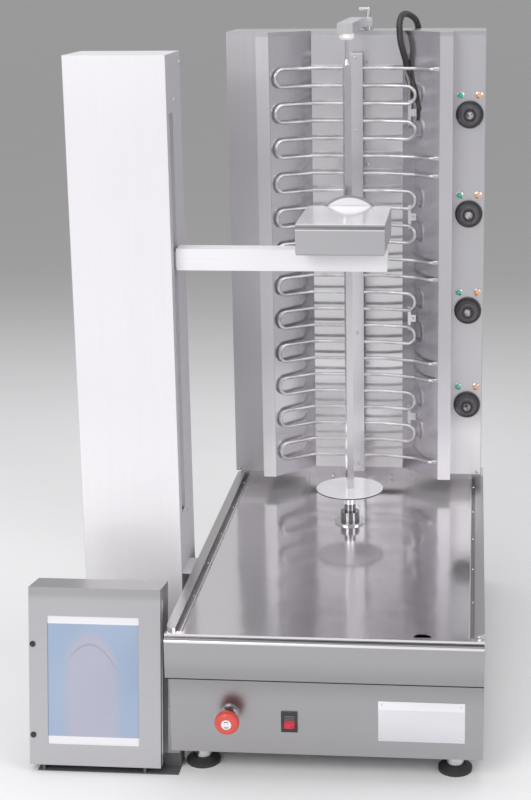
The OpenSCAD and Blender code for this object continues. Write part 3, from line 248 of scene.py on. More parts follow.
# Brushed sheet whose grey changes with height as painted light and shade on one steel. bands are
# pairs of a height and a grey, from below. edge is a place across, a half width and the factor by
# which the sheet is painted darker further out, as painted shade towards its sides.
# dull is two heights and how much less metallic the sheet is below them, where the deck lights it.
def bandedSteel(name, bands, rough, grain, metal=1.0, fine=0.05, edge=None, sway=0.01, dull=None):
    p = Paint(name)
    z = p.along("Z")
    streak = p.noise(grain, 4.0, 0.6)
    cloud = p.noise(broad, 4.0, 0.6)
    height = z + (cloud - 0.5) * sway
    # painted light and shade: the grey steps from band to band up the sheet
    colour = grey(bands[0][1])
    for (low, _), (high, value) in zip(bands, bands[1:]):
        colour = p.mix(height.between(low, high), colour, grey(value))
    # painted shade: darker beyond the half width
    if edge:
        middle, half, factor = edge
        paintedEdgeShade = p.mix(1.0, colour, grey(factor), "MULTIPLY")
        colour = p.mix(abs(p.along("X") - middle).above(half), colour, paintedEdgeShade)
    if dull:
        low, high, loss = dull
        metal = metal - (1 - z.between(low, high)) * loss
    brushed = p.mix(streak * 0.55 + cloud * 0.45, (0.9, 0.9, 0.9), (1.0, 1.0, 1.0))
    p.feed(Base_Color=p.mix(1.0, colour, brushed, "MULTIPLY"), Metallic=metal,
           Roughness=rough + (streak - 0.5) * fine + (cloud - 0.5) * 0.06)
    p.bump(streak, 0.00002)
    return p.material


# The rear corners are duller: this grows from the first to the second place back and aside.
deck = {"rear": (585, 630), "side": (70, 125), "dark": (0.72, 0.695, 0.71),
        "light": (0.80, 0.775, 0.795)}


# The polished deck, a little wavy, with a brushed line here and there.
def deckPaint():
    p = Paint("deckSteel")
    streak = p.noise((3, 140, 140), 4.0, 0.6)
    cloud = p.noise((6, 4, 6))
    smear = p.noise((26, 9, 26))
    rear = [at(0, y, 0).y for y in deck["rear"]]
    side = [mm(x) for x in deck["side"]]
    corner = p.along("Y").between(*rear) * abs(p.along("X") - middleX).between(*side)
    p.feed(Base_Color=p.mix(streak * 0.4 + cloud * 0.6, deck["dark"], deck["light"]),
           Metallic=0.93 - corner * 0.3,
           Roughness=0.12 + corner * 0.1 + (smear - 0.5) * 0.08 + (cloud - 0.5) * 0.05)
    p.bump(cloud + streak * 0.004, 0.0012)
    return p.material


# Distances from the middle, where the lip's painted highlight ends and where the screws' channel
# ends.
rail = {"lip": 231.6, "channel": 238.4, "bright": (0.86, 0.84, 0.86)}


# Side rails: a plain top, painted shade in the screws' channel and a painted highlight on the lip.
def railPaint():
    p = Paint("railSteel")
    streak = p.noise(alongY, 4.0)
    channelShadeMottle = p.noise((60, 12, 60))
    out = abs(p.along("X") - middleX)
    beyond = out.above(mm(rail["lip"]))
    # painted shade in the channel; inside the lip's edge a painted highlight
    dark = beyond * out.below(mm(rail["channel"]))
    top = p.mix(streak, (0.46, 0.455, 0.45), (0.54, 0.53, 0.53))
    channel = p.mix(channelShadeMottle, (0.24, 0.22, 0.22), (0.38, 0.36, 0.355))
    p.feed(Base_Color=p.mix(dark, p.mix(beyond, rail["bright"], top), channel), Metallic=1.0,
           Roughness=0.27 + streak * 0.06 + dark * 0.15)
    p.bump(streak, 0.00002)
    return p.material


# The lines of painted highlight and painted shade lie below the top;
# roll and near are counted from the front.
lid = {"top": 881, "front": 194, "roof": 1.6, "roll": 5.4, "near": 9, "highlightLine": (10.4, 9.6),
       "shadeLine": (8.4, 7.6)}


# The lid's mirror top painted near white as painted light, a painted shade line and a painted
# highlight line on its rolled front edge, and its plain sides.
def lidPaint():
    p = Paint("lidSteel")
    y, z = p.along("Y"), p.along("Z")
    streak = p.noise(alongX, 4.0, 0.6)
    cloud = p.noise(9, 3.0, 0.5)
    front = at(0, lid["front"], 0).y
    roof = z.above(mm(lid["top"] - lid["roof"])) * y.above(front + mm(lid["roll"]))
    near = y.below(front + mm(lid["near"]))
    colour = p.mix(cloud, grey(0.57), grey(0.61))
    for line, value in (("highlightLine", 0.95), ("shadeLine", 0.20)):
        low, high = [mm(lid["top"] - drop) for drop in lid[line]]
        colour = p.mix(z.between(low, high) * near, colour, grey(value))
    p.feed(Base_Color=p.mix(roof, colour, grey(0.95)), Metallic=1 - roof * 0.45,
           Roughness=0.30 - roof * 0.19 + (streak - 0.5) * 0.04)
    p.bump(streak, 0.00001)
    return p.material


disc = {"y": 515, "rim": 63.4, "rimShade": (0.11, 0.10, 0.11), "ringsPerMetre": 1500}


# The meat disc: bright on top, its thin rim painted dark as painted shade.
def discPaint():
    p = Paint("discSteel")
    away = p.away(p.along("X"), middleX, p.along("Y"), at(0, disc["y"], 0).y)
    rings = (away * disc["ringsPerMetre"]).wave()
    cloud = p.noise(14)
    top = p.mix(cloud, grey(0.92), grey(0.98))
    p.feed(Base_Color=p.mix(away.above(mm(disc["rim"])), top, disc["rimShade"]), Metallic=0.5,
           Roughness=0.2 + rings * 0.02 + (cloud - 0.5) * 0.1)
    p.bump(rings, 0.000004)
    return p.material


# The tubes are bright above and browned where they run hot.
def elementPaint():
    p = Paint("elementSteel")
    heat = p.noise((22, 22, 60), 4.0, 0.6)
    p.feed(Base_Color=p.mix(heat.between(0.35, 0.7), (0.70, 0.69, 0.70), (0.47, 0.455, 0.455)),
           Metallic=1.0, Roughness=0.34 + (heat - 0.5) * 0.2)
    p.bump(p.noise(900, 2.0), 0.00003)
    return p.material


blade = {"x": 12.5, "z": 838, "flat": 57.5, "ringsPerMetre": 2600}


# Ground face inside; the bevel at the rim is painted darker as painted shade.
def bladePaint():
    p = Paint("bladeSteel")
    away = p.away(p.along("X"), at(blade["x"], 0, 0).x, p.along("Z"), mm(blade["z"]))
    rings = (away * blade["ringsPerMetre"]).wave()
    scuff = p.noise(60)
    bevel = away.above(mm(blade["flat"]))
    p.feed(Base_Color=p.mix(bevel, (0.90, 0.885, 0.91), (0.35, 0.34, 0.355)), Metallic=1.0,
           Roughness=0.32 + (scuff - 0.5) * 0.1 + rings * 0.02)
    p.bump(rings, 0.00001)
    return p.material


# The four knobs stand above each other. The last three are radii between which the grip's wear
# ends and the grey of the skirt begins and ends.
knob = {"x": 220, "low": 431, "pitch": 193, "count": 4, "grip": (5.5, 8.5), "inside": (11, 14),
        "outside": (19.5, 21.5)}


# Distance from the nearest of the points that repeat with the knobs' pitch, from low upwards.
def awayRepeated(p, across, x0, low):
    pitch = mm(knob["pitch"])
    return p.away(across, x0, (p.along("Z") - (mm(low) - pitch / 2)) % pitch, pitch / 2)


# Two lamps above each knob. green and amber give a lens's colour at its rim and in its middle.
lamp = {"aside": 18, "low": 468, "lens": 5, "bezel": 5.1, "bezelColour": (0.62, 0.60, 0.57),
        "green": ((0.012, 0.34, 0.20), (0.05, 0.62, 0.42)),
        "amber": ((0.66, 0.24, 0.09), (0.86, 0.48, 0.26))}


# Green left and amber right, each with a bright bezel round it.
def lampPaint():
    p = Paint("lampLens")
    side = p.along("X") - at(knob["x"], 0, 0).x
    away = awayRepeated(p, abs(side), mm(lamp["aside"]), lamp["low"])
    bezel = away.above(mm(lamp["bezel"]))
    dots = p.noise(1400, 2.0)
    right = side.above(0)
    rim, middle = [p.mix(right, left, other) for left, other in zip(lamp["green"], lamp["amber"])]
    lens = p.mix(away / mm(lamp["lens"]) * 0.6 + dots * 0.2, middle, rim)
    p.feed(Base_Color=p.mix(bezel, lens, lamp["bezelColour"]), Metallic=bezel, Coat_Weight=0.4,
           Roughness=0.12 + bezel * 0.1 + dots * 0.05)
    return p.material


# Black knobs, greyer on the skirt and worn bright on the grip.
def knobPaint():
    p = Paint("knobPlastic")
    away = awayRepeated(p, p.along("X"), at(knob["x"], 0, 0).x, knob["low"])
    grip, inside, outside = [away.between(mm(knob[edge][0]), mm(knob[edge][1]))
                             for edge in ("grip", "inside", "outside")]
    worn = p.noise(150)
    colour = p.mix(inside * (1 - outside) * 0.6, (0.016, 0.015, 0.017), (0.12, 0.11, 0.125))
    bare = (1 - grip) * worn.between(0.3, 0.62) * 0.85
    p.feed(Base_Color=p.mix(bare, colour, (0.55, 0.52, 0.57)), Coat_Weight=0.25,
           Roughness=0.36 + (worn - 0.5) * 0.2)
    p.bump(p.noise(900, 2.0), 0.00002)
    return p.material


# The lens reaches up to the first height above the middle, the ribs start at the second.
rocker = {"z": 96, "lens": 2.2, "ribs": 3.5, "ribsPerMetre": 1900}


# Upper part ribbed black with painted highlights on the ribs, lower part a red lens with a
# painted glow in patches.
def rockerPaint():
    p = Paint("rockerPlastic")
    up = p.along("Z") - mm(rocker["z"])
    low = up.below(mm(rocker["lens"]))
    high = up.above(mm(rocker["ribs"]))
    ribs = (up * rocker["ribsPerMetre"]).wave()
    glow = p.noise(160, 2.0)
    black = p.mix(ribs.between(0.1, 0.9) * high, (0.02, 0.018, 0.019), (0.16, 0.15, 0.155))
    paintedGlow = p.mix(low * glow.between(0.35, 0.75), (0.0, 0.0, 0.0), (0.75, 0.03, 0.06))
    p.feed(Base_Color=p.mix(low, black, (0.42, 0.012, 0.03)), Roughness=0.2 + glow * 0.1,
           Coat_Weight=0.6, Emission_Color=paintedGlow, Emission_Strength=0.35)
    p.bump(ribs.above(0) * high, 0.0003)
    return p.material


def redPaint():
    p = Paint("redPlastic")
    cloud = p.noise(90)
    p.feed(Base_Color=p.mix(cloud, (0.56, 0.045, 0.035), (0.74, 0.11, 0.085)), Coat_Weight=0.2,
           Roughness=0.34 + (cloud - 0.5) * 0.12)
    p.bump(p.noise(800, 2.0), 0.00003)
    return p.material


feet = {"padTop": 12.2, "rubber": ((0.022, 0.022, 0.022), (0.04, 0.04, 0.04)),
        "chrome": (0.72, 0.71, 0.73)}


# Rubber pads under chrome stems.
def footPaint():
    p = Paint("footPaint")
    stem = p.along("Z").above(mm(feet["padTop"]))
    speck = p.noise(500, 2.0)
    p.feed(Base_Color=p.mix(stem, p.mix(speck, *feet["rubber"]), feet["chrome"]), Metallic=stem,
           Roughness=0.62 - stem * 0.48 + speck * 0.1)
    p.bump(speck, 0.00004)
    return p.material


# Left and right edge, foot of the leaning door, low and high edge up the door, degrees it leans.
film = {"x": (-459, -307), "foot": 13, "up": (35, 250), "lean": 9}


# A blue film with a painted reflection on it, a lilac field whose top is arched, and a white strip
# above and below.
def filmPaint():
    p = Paint("panelFilm")
    left, right = [at(x, 0, 0).x for x in film["x"]]
    lean = math.cos(math.radians(film["lean"]))
    low, high = [mm(film["foot"] + up * lean) for up in film["up"]]
    across = (p.along("X") - left) / (right - left)
    height = (p.along("Z") - low) / (high - low)
    cloud = p.noise((14, 14, 9))
    arch = height + (across - 0.46) * (across - 0.46) * 2.2
    paintedReflection = across.between(0.12, 0.28) * (1 - across.between(0.70, 0.84))
    paintedReflection = paintedReflection * (1 - arch.between(0.82, 0.92))
    # a faint dark line along the arched top of the painted reflection
    line = 1 - abs(arch - 0.78).between(0.004, 0.012)
    line = line * across.between(0.2, 0.3) * (1 - across.between(0.7, 0.8))
    colour = p.mix(paintedReflection, p.mix(cloud, (0.29, 0.38, 0.52), (0.35, 0.43, 0.55)),
                   p.mix(cloud, (0.37, 0.39, 0.49), (0.43, 0.43, 0.51)))
    colour = p.mix(line * 0.35, colour, (0.16, 0.19, 0.28))
    p.feed(Base_Color=p.mix(height.below(0.062) + height.above(0.938), colour, (0.76, 0.76, 0.78)),
           Roughness=0.32 + (cloud - 0.5) * 0.08)
    p.bump(p.noise(700, 2.0), 0.00002)
    return p.material


# Heights in metres and the grey from each height on: painted light and shade on each steel,
# lighter where it catches light and reflections, darker where shade falls.
bands = {
    "tower": [(0.3, 1.0), (0.62, 0.85), (1.1, 0.765)],
    # painted shadow: the base darkens just under the drawer front's overhang
    "base": [(0.04, 0.44), (0.12, 0.43), (0.185, 0.33)],
    # painted shadow line at the drawer front's bottom edge, painted highlight on its rolled top
    # edge and painted shade in the gap under the deck's rim
    "front": [(0.1842, 0.03), (0.1856, 0.36), (0.225, 0.43), (0.2448, 0.43), (0.2462, 0.95),
              (0.2486, 0.95), (0.2498, 0.22)],
    "post": [(0.30, 1.0), (0.40, 0.86), (0.56, 0.62), (0.8, 0.66), (1.1, 0.66)],
    "panel": [(0.36, 1.0), (0.43, 0.64), (0.7, 0.58)],
    "side": [(0.32, 0.66), (0.55, 0.50), (0.75, 0.60), (1.1, 0.62)],
    "strap": [(0.3, 0.98), (0.5, 0.72), (0.95, 0.76), (1.12, 0.76), (1.128, 1.0)],
    "reflector": [(0.31, 1.0), (0.46, 0.86), (0.56, 0.62), (0.70, 0.72), (0.90, 0.86), (1.1, 0.78)],
    "box": [(0.2, 0.57), (0.285, 0.57), (0.296, 0.48)],
}
# Middle, half width and factor of the painted shade that darkens each face towards its sides.
towerFace = (at(-358.5, 0, 0).x, mm(84.8), 0.74)
postFace = (at(-175, 0, 0).x, mm(100), 0.93)
reflectorFace = (middleX, mm(89.3), 0.80)

towerSteel = bandedSteel("towerSteel", bands["tower"], 0.5, alongZ, 0.5, 0.06, towerFace)
beamSteel = steel("beamSteel", 0.86, 0.5, alongX, 0.06, 0.1, metal=0.55)
baseSteel = bandedSteel("baseSteel", bands["base"], 0.32, alongX, sway=0)
frontSteel = bandedSteel("frontSteel", bands["front"], 0.30, alongX, sway=0)
postSteel = bandedSteel("postSteel", bands["post"], 0.30, alongZ, 0.7, edge=postFace,
                        dull=(0.34, 0.46, 0.4))
panelSteel = bandedSteel("panelSteel", bands["panel"], 0.32, alongZ, 0.75)
sideSteel = bandedSteel("sideSteel", bands["side"], 0.30, alongZ)
strapSteel = bandedSteel("strapSteel", bands["strap"], 0.24, alongZ, 0.9)
reflectorSteel = bandedSteel("reflectorSteel", bands["reflector"], 0.16, alongZ, 0.85, 0.04,
                             reflectorFace)
boxSteel = bandedSteel("boxSteel", bands["box"], 0.36, alongX, sway=0)
deckSteel = deckPaint()
railSteel = railPaint()
lidSteel = lidPaint()
discSteel = discPaint()
hubSteel = steel("hubSteel", 0.27, 0.12, turned, 0.03, 0.03)
spitSteel = steel("spitSteel", 0.62, 0.18, turned, 0.05, 0.05)
brightSteel = steel("brightSteel", 0.76, 0.26)
wallSteel = steel("wallSteel", 0.58, 0.30)
headSteel = steel("headSteel", 0.45, 0.30, alongX)
fastenerSteel = steel("fastenerSteel", 0.58, 0.25, (500, 500, 500))
castAluminium = steel("castAluminium", 0.53, 0.45, (220, 220, 220), 0.1, 0.1, 0.0001)
motorPaint = plastic("motorPaint", (0.05, 0.055, 0.06), 0.5)
bracketPaint = plastic("bracketPaint", (0.10, 0.10, 0.105), 0.45)
whitePlastic = plastic("whitePlastic", (0.80, 0.79, 0.76), 0.45)
glandPlastic = plastic("glandPlastic", (0.014, 0.014, 0.015), 0.38)
lockPlastic = plastic("lockPlastic", (0.012, 0.012, 0.012), 0.22, coat=0.5)
cordRubber = plastic("cordRubber", (0.018, 0.017, 0.017), 0.42, 600, 0.00004)
elementSteel = elementPaint()
bladeSteel = bladePaint()
lampLens = lampPaint()
knobPlastic = knobPaint()
rockerPlastic = rockerPaint()
redPlastic = redPaint()
footRubber = footPaint()
panelFilm = filmPaint()

coats = {
    baseSteel: ["base_body", "base_floor"],
    frontSteel: ["drawer_front"],
    deckSteel: ["deck_tray", "drawer_pan"],
    railSteel: ["side_rails"],
    hubSteel: ["drive_hub"],
    spitSteel: ["hub_flange", "spit_bar", "guide_rods", "head_rods"],
    discSteel: ["spit_disc"],
    postSteel: ["wall_posts"],
    strapSteel: ["element_straps"],
    brightSteel: ["top_bracket"],
    wallSteel: ["top_cap"],
    sideSteel: ["wall_casing", "side_panel"],
    panelSteel: ["control_panel"],
    reflectorSteel: ["reflector"],
    towerSteel: ["tower_shell"],
    beamSteel: ["arm_beam"],
    headSteel: ["head_base"],
    lidSteel: ["head_lid"],
    boxSteel: ["control_box", "box_door"],
    fastenerSteel: ["element_ferrules", "screws", "drawer_runners", "bracket_post", "lead_screw",
                    "blade_spindle", "estop_body"],
    castAluminium: ["carriage", "slide_blocks"],
    motorPaint: ["gear_motor", "tower_plates", "lift_motor", "blade_motor"],
    bracketPaint: ["box_bracket"],
    whitePlastic: ["top_bush", "energy_regulators"],
    knobPlastic: ["knob_1", "knob_2", "knob_3", "knob_4"],
    glandPlastic: ["cord_gland"],
    lockPlastic: ["lock_low", "lock_high", "estop_plunger", "rocker_bezel"],
    footRubber: ["feet"],
    cordRubber: ["cord_sheath", "cord_cores"],
    elementSteel: ["heating_elements"],
    bladeSteel: ["blade"],
    lampLens: ["pilot_lamps"],
    rockerPlastic: ["rocker"],
    redPlastic: ["estop_cap"],
    panelFilm: ["touch_panel"],
}
for material, names in coats.items():
    for name in names:
        nodes[name].data.materials.clear()
        nodes[name].data.materials.append(material)
print("materials ready:", len(coats))


def curvePiece(name, points, radius, material, body, sides):
    data = bpy.data.curves.new(name, "CURVE")
    data.dimensions = "3D"
    data.bevel_depth = radius
    data.bevel_resolution = sides
    data.use_fill_caps = True
    spline = data.splines.new("POLY")
    spline.points.add(len(points) - 1)
    for point, place in zip(spline.points, points):
        point.co = (*place, 1)
    spline.use_smooth = True
    piece = bpy.data.objects.new(name, data)
    data.materials.append(material)
    bpy.context.collection.objects.link(piece)
    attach(piece, body)
    return piece


# A smooth line through given points, steps pieces between each two.
def smoothLine(points, steps=4):
    line = []
    last = len(points) - 1
    for i in range(last):
        a, b, c, d = (points[max(i - 1, 0)], points[i], points[i + 1], points[min(i + 2, last)])
        for k in range(steps):
            t = k / steps
            line.append(0.5 * ((2 * b) + (c - a) * t + (2 * a - 5 * b + 4 * c - d) * t * t
                               + (3 * b - a - 3 * c + d) * t * t * t))
    line.append(points[last])
    return line


def lineLength(points):
    return sum((b - a).length for a, b in zip(points, points[1:]))


# Out of the gland, down and back up along the rear, over the top cap and down before the reflector.
sheath = {
    "radius": 6.25,
    "exit": (230, 885, 420),
    "route": [
        (230, 876, 420), (230, 896, 420), (230, 915, 417), (230, 932, 409), (230, 946, 395),
        (230, 954, 377), (230, 957, 355), (230, 957, 325), (229, 956, 295), (226, 954, 268),
        (220, 950, 243), (210, 944, 222), (197, 935, 207), (181, 924, 200), (164, 912, 201),
        (148, 901, 209), (135, 892, 224), (125, 885, 244), (119, 879, 270), (115, 875, 300),
        (113, 873, 340), (112, 872, 400), (112, 871, 480), (112, 870, 580), (112, 870, 700),
        (113, 869, 820), (114, 869, 930), (115, 869, 1010), (116, 871, 1060), (117, 874, 1100),
        (117, 876, 1130), (117, 875, 1152), (115, 870, 1170), (111, 860, 1183), (105, 844, 1191),
        (98, 826, 1196), (92, 808, 1198), (87, 789, 1196), (84, 771, 1189), (83, 757, 1178),
        (84, 747, 1164), (86, 742, 1148), (90, 740, 1132), (94, 741, 1118), (97, 742, 1107),
        (98, 742, 1099), (98, 742, 1094),
    ],
}
coreRadius = 2
cores = {
    "black": {
        "colour": (0.016, 0.015, 0.015),
        "route": [(95.8, 744, 1094), (95.8, 744, 1089), (97, 744, 1078), (101, 742.5, 1066),
                  (105, 740.5, 1052), (107, 738, 1040)],
    },
    "dark": {
        "colour": (0.020, 0.019, 0.020),
        "route": [(100.2, 739.8, 1094), (100.2, 739.8, 1089), (107, 737.5, 1075), (110, 735, 1062),
                  (114, 731, 1044), (118.5, 727, 1028), (120, 726.5, 1012), (119, 727.5, 998)],
    },
    "grey": {
        "colour": (0.34, 0.33, 0.32),
        "route": [(95.8, 739.8, 1094), (95.8, 739.8, 1089), (101, 739.5, 1073), (104, 739, 1060),
                  (103.5, 739.5, 1042), (102.5, 740.5, 1024), (101.5, 741.5, 1004),
                  (100, 742.5, 983)],
    },
    "brown": {
        "colour": (0.05, 0.035, 0.028),
        "route": [(100.2, 744, 1094), (100.2, 744, 1089), (105, 740, 1079), (111, 734.5, 1066),
                  (115.5, 731, 1052), (119, 727, 1034), (123, 723.5, 1018)],
    },
}


def makeCord():
    line = smoothLine([at(*p) for p in sheath["route"]])
    cord = curvePiece("cordSheath", line, mm(sheath["radius"]), cordRubber, "grill", 6)
    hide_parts("cord_sheath")
    tuple(at(*sheath["exit"]))
    lineLength(line)
    mm(2 * sheath["radius"])
    for name, core in cores.items():
        line = smoothLine([at(*p) for p in core["route"]])
        material = plastic("core_" + name, core["colour"], 0.4)
        piece = curvePiece("core_" + name, line, mm(coreRadius), material, "grill", 4)
        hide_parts("cord_cores")
        lineLength(line)
        mm(2 * coreRadius)


makeCord()
print("cord ready")


# Each tube winds up through its levels. Seen from above it runs along the reflector's back between
# two folds, then on along each wing; legs are lengths on the wings and turns their angles.
tubes = {
    "groups": 4,
    "levels": 6,
    "pitch": 33.95,
    "low": 317,
    "radius": 3.25,
    "leftFold": (-91, 735),
    "rightFold": (56, 735),
    "leftLeg": 58.8,
    "leftTurn": 36,
    "rightLeg": 43.9,
    "rightTurn": 14.3,
    "lead": [(175, 693), (145, 693), (118, 716)],  # the ends, out to the ferrules
    "bend": 5,
}


# A line in plan with its corners rounded.
def roundedLine(line, cut, steps=4):
    result = [line[0]]
    for before, here, after in zip(line, line[1:], line[2:]):
        here = Vector(here)
        a = here + (Vector(before) - here).normalized() * cut
        b = here + (Vector(after) - here).normalized() * cut
        for k in range(steps + 1):
            t = k / steps
            result.append(tuple(a * (1 - t) ** 2 + here * 2 * t * (1 - t) + b * t * t))
    return result + [line[-1]]


def elementPath(z0):
    pitch, half = tubes["pitch"], tubes["pitch"] / 2
    leftTurn, rightTurn = math.radians(tubes["leftTurn"]), math.radians(tubes["rightTurn"])
    leftFold, rightFold = tubes["leftFold"], tubes["rightFold"]
    leftEnd = (leftFold[0] - tubes["leftLeg"] * math.cos(leftTurn),
               leftFold[1] - tubes["leftLeg"] * math.sin(leftTurn))
    rightEnd = (rightFold[0] + tubes["rightLeg"] * math.cos(rightTurn),
                rightFold[1] - tubes["rightLeg"] * math.sin(rightTurn))
    outer = roundedLine([*tubes["lead"], rightFold, leftFold, leftEnd], tubes["bend"])
    inner = roundedLine([rightEnd, rightFold, leftFold, leftEnd], tubes["bend"])
    last = tubes["levels"] - 1
    path = []
    for level in range(tubes["levels"]):
        goesLeft = level % 2 == 0
        line = outer if level in (0, last) else inner
        z = z0 + level * pitch
        path += [at(x, y, z) for x, y in (line if goesLeft else reversed(line))]
        if level < last:
            (cx, cy), angle = (leftEnd, math.pi + leftTurn) if goesLeft else (rightEnd, -rightTurn)
            for degrees in range(-75, 76, 15):
                a = math.radians(degrees)
                path.append(at(cx + half * math.cos(a) * math.cos(angle),
                               cy + half * math.cos(a) * math.sin(angle),
                               z + half + half * math.sin(a)))
    return path


for group in range(tubes["groups"]):
    path = elementPath(tubes["low"] + group * tubes["levels"] * tubes["pitch"])
    tube = curvePiece(f"elementTube_{group + 1}", path, mm(tubes["radius"]), elementSteel, "grill",
                      3)
    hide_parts("heating_elements")
print("heating elements ready")


def meshPiece(name, bm, material, body):
    bmesh.ops.recalc_face_normals(bm, faces=bm.faces)
    data = bpy.data.meshes.new(name)
    bm.to_mesh(data)
    bm.free()
    for face in data.polygons:
        face.use_smooth = True
    data.set_sharp_from_angle(angle=math.radians(40))
    data.materials.append(material)
    piece = bpy.data.objects.new(name, data)
    bpy.context.collection.objects.link(piece)
    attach(piece, body)


def addBox(bm, low, high, edge):
    made = bmesh.ops.create_cube(bm, size=1)["verts"]
    bmesh.ops.scale(bm, vec=high - low, verts=made)
    bmesh.ops.translate(bm, vec=(low + high) / 2, verts=made)
    edges = {e for v in made for e in v.link_edges}
    bmesh.ops.bevel(bm, geom=list(edges), offset=edge, offset_type="OFFSET", segments=2,
                    profile=0.5, affect="EDGES", material=-1)


# A turned piece that faces the front. profile is pairs of a radius and how far it stands out.
def addLathe(bm, centre, profile, steps):
    front = Vector((0, -1, 0))
    side = front.orthogonal().normalized()
    points = [bm.verts.new(centre + side * mm(r) + front * mm(h)) for r, h in profile]
    edges = [bm.edges.new(pair) for pair in zip(points, points[1:])]
    bmesh.ops.spin(bm, geom=points + edges, cent=centre, axis=front, angle=math.tau, steps=steps,
                   use_merge=True, use_duplicate=False)
    bmesh.ops.remove_doubles(bm, verts=bm.verts, dist=1e-6)


plate = {"x": (85, 225), "z": (67, 137), "thick": 0.8, "edge": 0.3, "sheen": (121, 123),
         "rivets": (91, 219, 73, 131), "rivet": [(0, 0.7), (1, 0.6), (1.7, 0.2), (1.8, 0)]}


def makePlate():
    p = Paint("plateSteel")
    cloud = p.noise((9, 9, 14), 4.0)
    grain = p.noise(alongX)
    # painted sheen: the plate is painted lighter above the sheen heights
    top = p.along("Z").between(*[mm(z) for z in plate["sheen"]]) * 0.75
    p.feed(Base_Color=p.mix(cloud * 0.5 + top, (0.76, 0.755, 0.79), (0.93, 0.925, 0.96)),
           Metallic=0.85, Roughness=0.38 + (grain - 0.5) * 0.1 + (cloud - 0.5) * 0.15)
    p.bump(grain, 0.00002)
    (left, right), (low, high) = plate["x"], plate["z"]
    bm = bmesh.new()
    addBox(bm, at(left, -plate["thick"], low), at(right, 0, high), mm(plate["edge"]))
    meshPiece("dataPlate", bm, p.material, "grill")
    left, right, low, high = plate["rivets"]
    bm = bmesh.new()
    for x in (left, right):
        for z in (low, high):
            addLathe(bm, at(x, -plate["thick"], z), plate["rivet"], 16)
    meshPiece("plateRivets", bm, brightSteel, "grill")


makePlate()

# White marks round each knob's skirt, which turn with it.
dial = {"front": 717, "proud": 0.45, "ring": 23, "marks": 9, "sweep": 270, "mark": (0.9, 0.3, 3.4)}


def makeDials():
    white = plastic("markPaint", (0.62, 0.62, 0.60), 0.5)
    for number in range(1, knob["count"] + 1):
        z = knob["low"] + (knob["count"] - number) * knob["pitch"]
        bm = bmesh.new()
        for k in range(dial["marks"]):
            angle = math.radians(-dial["sweep"] / 2 + dial["sweep"] * k / (dial["marks"] - 1))
            place = at(knob["x"] + dial["ring"] * math.sin(angle), dial["front"] - dial["proud"],
                       z + dial["ring"] * math.cos(angle))
            made = bmesh.ops.create_cube(bm, size=1)["verts"]
            bmesh.ops.scale(bm, vec=Vector(dial["mark"]) / 1000, verts=made)
            bmesh.ops.rotate(bm, cent=(0, 0, 0), matrix=Matrix.Rotation(angle, 3, "Y"), verts=made)
            bmesh.ops.translate(bm, vec=place, verts=made)
        meshPiece(f"dialMarks_{number}", bm, white, f"dial_{number}")


makeDials()

# The badge on the stop button's cap: a round plate with two arcs.
badge = {"x": -157, "y": -40, "z": 107, "arcRadius": 5, "arcHalf": 0.7, "arcReach": 3.4,
         "profile": [(0, 0.6), (7.4, 0.6), (8.2, 0.3), (8.4, -0.5)]}


def makeStopBadge():
    p = Paint("badgePaint")
    x, x0 = p.along("X"), at(badge["x"], 0, 0).x
    away = p.away(x, x0, p.along("Z"), mm(badge["z"]))
    arcs = abs(away - mm(badge["arcRadius"])).below(mm(badge["arcHalf"]))
    arcs = arcs * abs(x - x0).below(mm(badge["arcReach"]))
    speck = p.noise(400)
    white = p.mix(speck, (0.66, 0.68, 0.68), (0.84, 0.86, 0.86))
    p.feed(Base_Color=p.mix(arcs, white, (0.06, 0.07, 0.07)), Roughness=0.3 + speck * 0.1)
    bm = bmesh.new()
    addLathe(bm, at(badge["x"], badge["y"], badge["z"]), badge["profile"], 32)
    meshPiece("stopBadge", bm, p.material, "stop_cap")


makeStopBadge()
print("small pieces ready")

# Rounded folds on the sheet-metal pieces, in mm, so that their edges catch the light.
folds = {
    "base_body": 1.2, "drawer_front": 0.7, "deck_tray": 0.5, "side_rails": 0.8, "wall_casing": 1.0,
    "top_cap": 0.8, "wall_posts": 0.6, "tower_shell": 1.4, "arm_beam": 1.2, "head_base": 0.6,
    "head_lid": 1.0, "control_box": 0.6, "box_door": 0.7, "top_bracket": 0.9, "carriage": 0.8,
    "box_bracket": 0.5, "knob_1": 0.5, "knob_2": 0.5, "knob_3": 0.5, "knob_4": 0.5,
    "rocker_bezel": 0.5, "rocker": 0.5, "estop_body": 0.6, "gear_motor": 1.5, "reflector": 0.4,
    "control_panel": 0.5, "side_panel": 0.5, "drive_hub": 0.5, "spit_bar": 0.6,
}
for name, size in folds.items():
    bevel = nodes[name].modifiers.new("fold", "BEVEL")
    bevel.width = mm(size)
    bevel.segments = 2
    bevel.limit_method = "ANGLE"
    bevel.angle_limit = math.radians(50)
    bevel.harden_normals = True
print("folds ready")


# Radius in metres; the grey sets in between the two places behind the machine.
ground = {"radius": 60, "greyFrom": (0.7, 4.0), "grey": (0.44, 0.44, 0.435)}


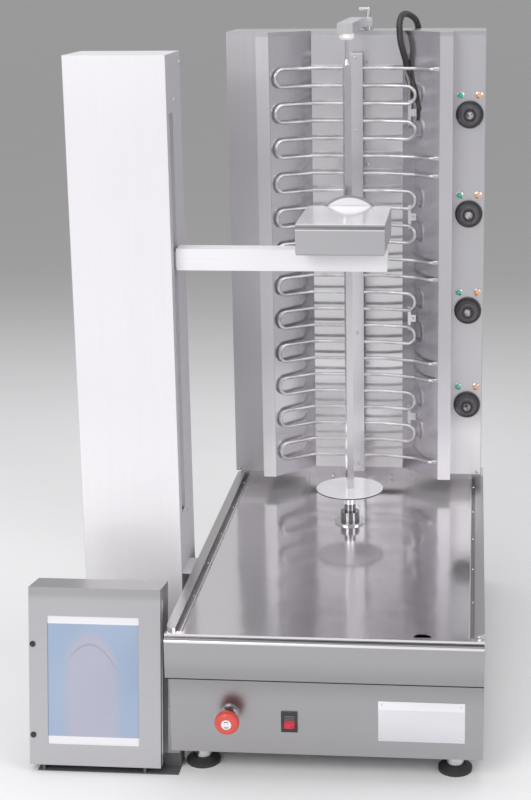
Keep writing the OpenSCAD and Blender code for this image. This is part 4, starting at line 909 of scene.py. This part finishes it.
# A flat pale floor, greyer behind the machine.
def makeStage():
    p = Paint("floorPaint")
    cloud = p.noise(1.5)
    near = p.mix(cloud, (0.80, 0.80, 0.80), (0.86, 0.86, 0.86))
    p.feed(Base_Color=p.mix(p.along("Y").between(*ground["greyFrom"]), near, ground["grey"]),
           Roughness=0.6 + cloud * 0.1)
    bm = bmesh.new()
    bmesh.ops.create_circle(bm, cap_ends=True, radius=ground["radius"], segments=96)
    data = bpy.data.meshes.new("floor")
    bm.to_mesh(data)
    bm.free()
    data.materials.append(p.material)
    floor = bpy.data.objects.new("floor", data)
    bpy.context.collection.objects.link(floor)


# Its colour lights the steel; past the floor's far edge the camera sees the floor's own grey.
air = {"light": (0.74, 0.735, 0.755), "seen": (0.360, 0.358, 0.362), "strength": 0.85}


class Sky(Paint):
    def __init__(self, name):
        self.world = bpy.data.worlds.new(name)
        self.world.use_nodes = True
        self.tree = self.world.node_tree
        self.shader = self.tree.nodes["Background"]


def makeWorld():
    sky = Sky("sky")
    seen = sky.node("ShaderNodeLightPath", {}, {}, "Is Camera Ray")
    sky.feed(Color=sky.mix(seen, air["light"], air["seen"]), Strength=air["strength"])
    bpy.context.scene.world = sky.world


lights = {
    "keyLamp": {"place": (-1.7, -3.2, 2.6), "target": (0, 0, 0.6), "size": (2.2, 2.0), "power": 70},
    "sideLamp": {"place": (2.6, -1.8, 1.9), "target": (0.1, 0.1, 0.5), "size": (1.4, 1.8),
                 "power": 25},
    "topLamp": {"place": (0, 0.1, 3.4), "target": (0, 0.1, 0), "size": (2.4, 2.4), "power": 30},
}


def addLight(name, place, target, size, power):
    data = bpy.data.lights.new(name, "AREA")
    data.shape = "RECTANGLE"
    data.size, data.size_y = size
    data.energy = power
    light = bpy.data.objects.new(name, data)
    light.location = place
    light.rotation_euler = (Vector(target) - Vector(place)).to_track_quat("-Z", "Y").to_euler()
    bpy.context.collection.objects.link(light)


makeStage()
makeWorld()
for name, values in lights.items():
    addLight(name, **values)
print("stage and light ready")
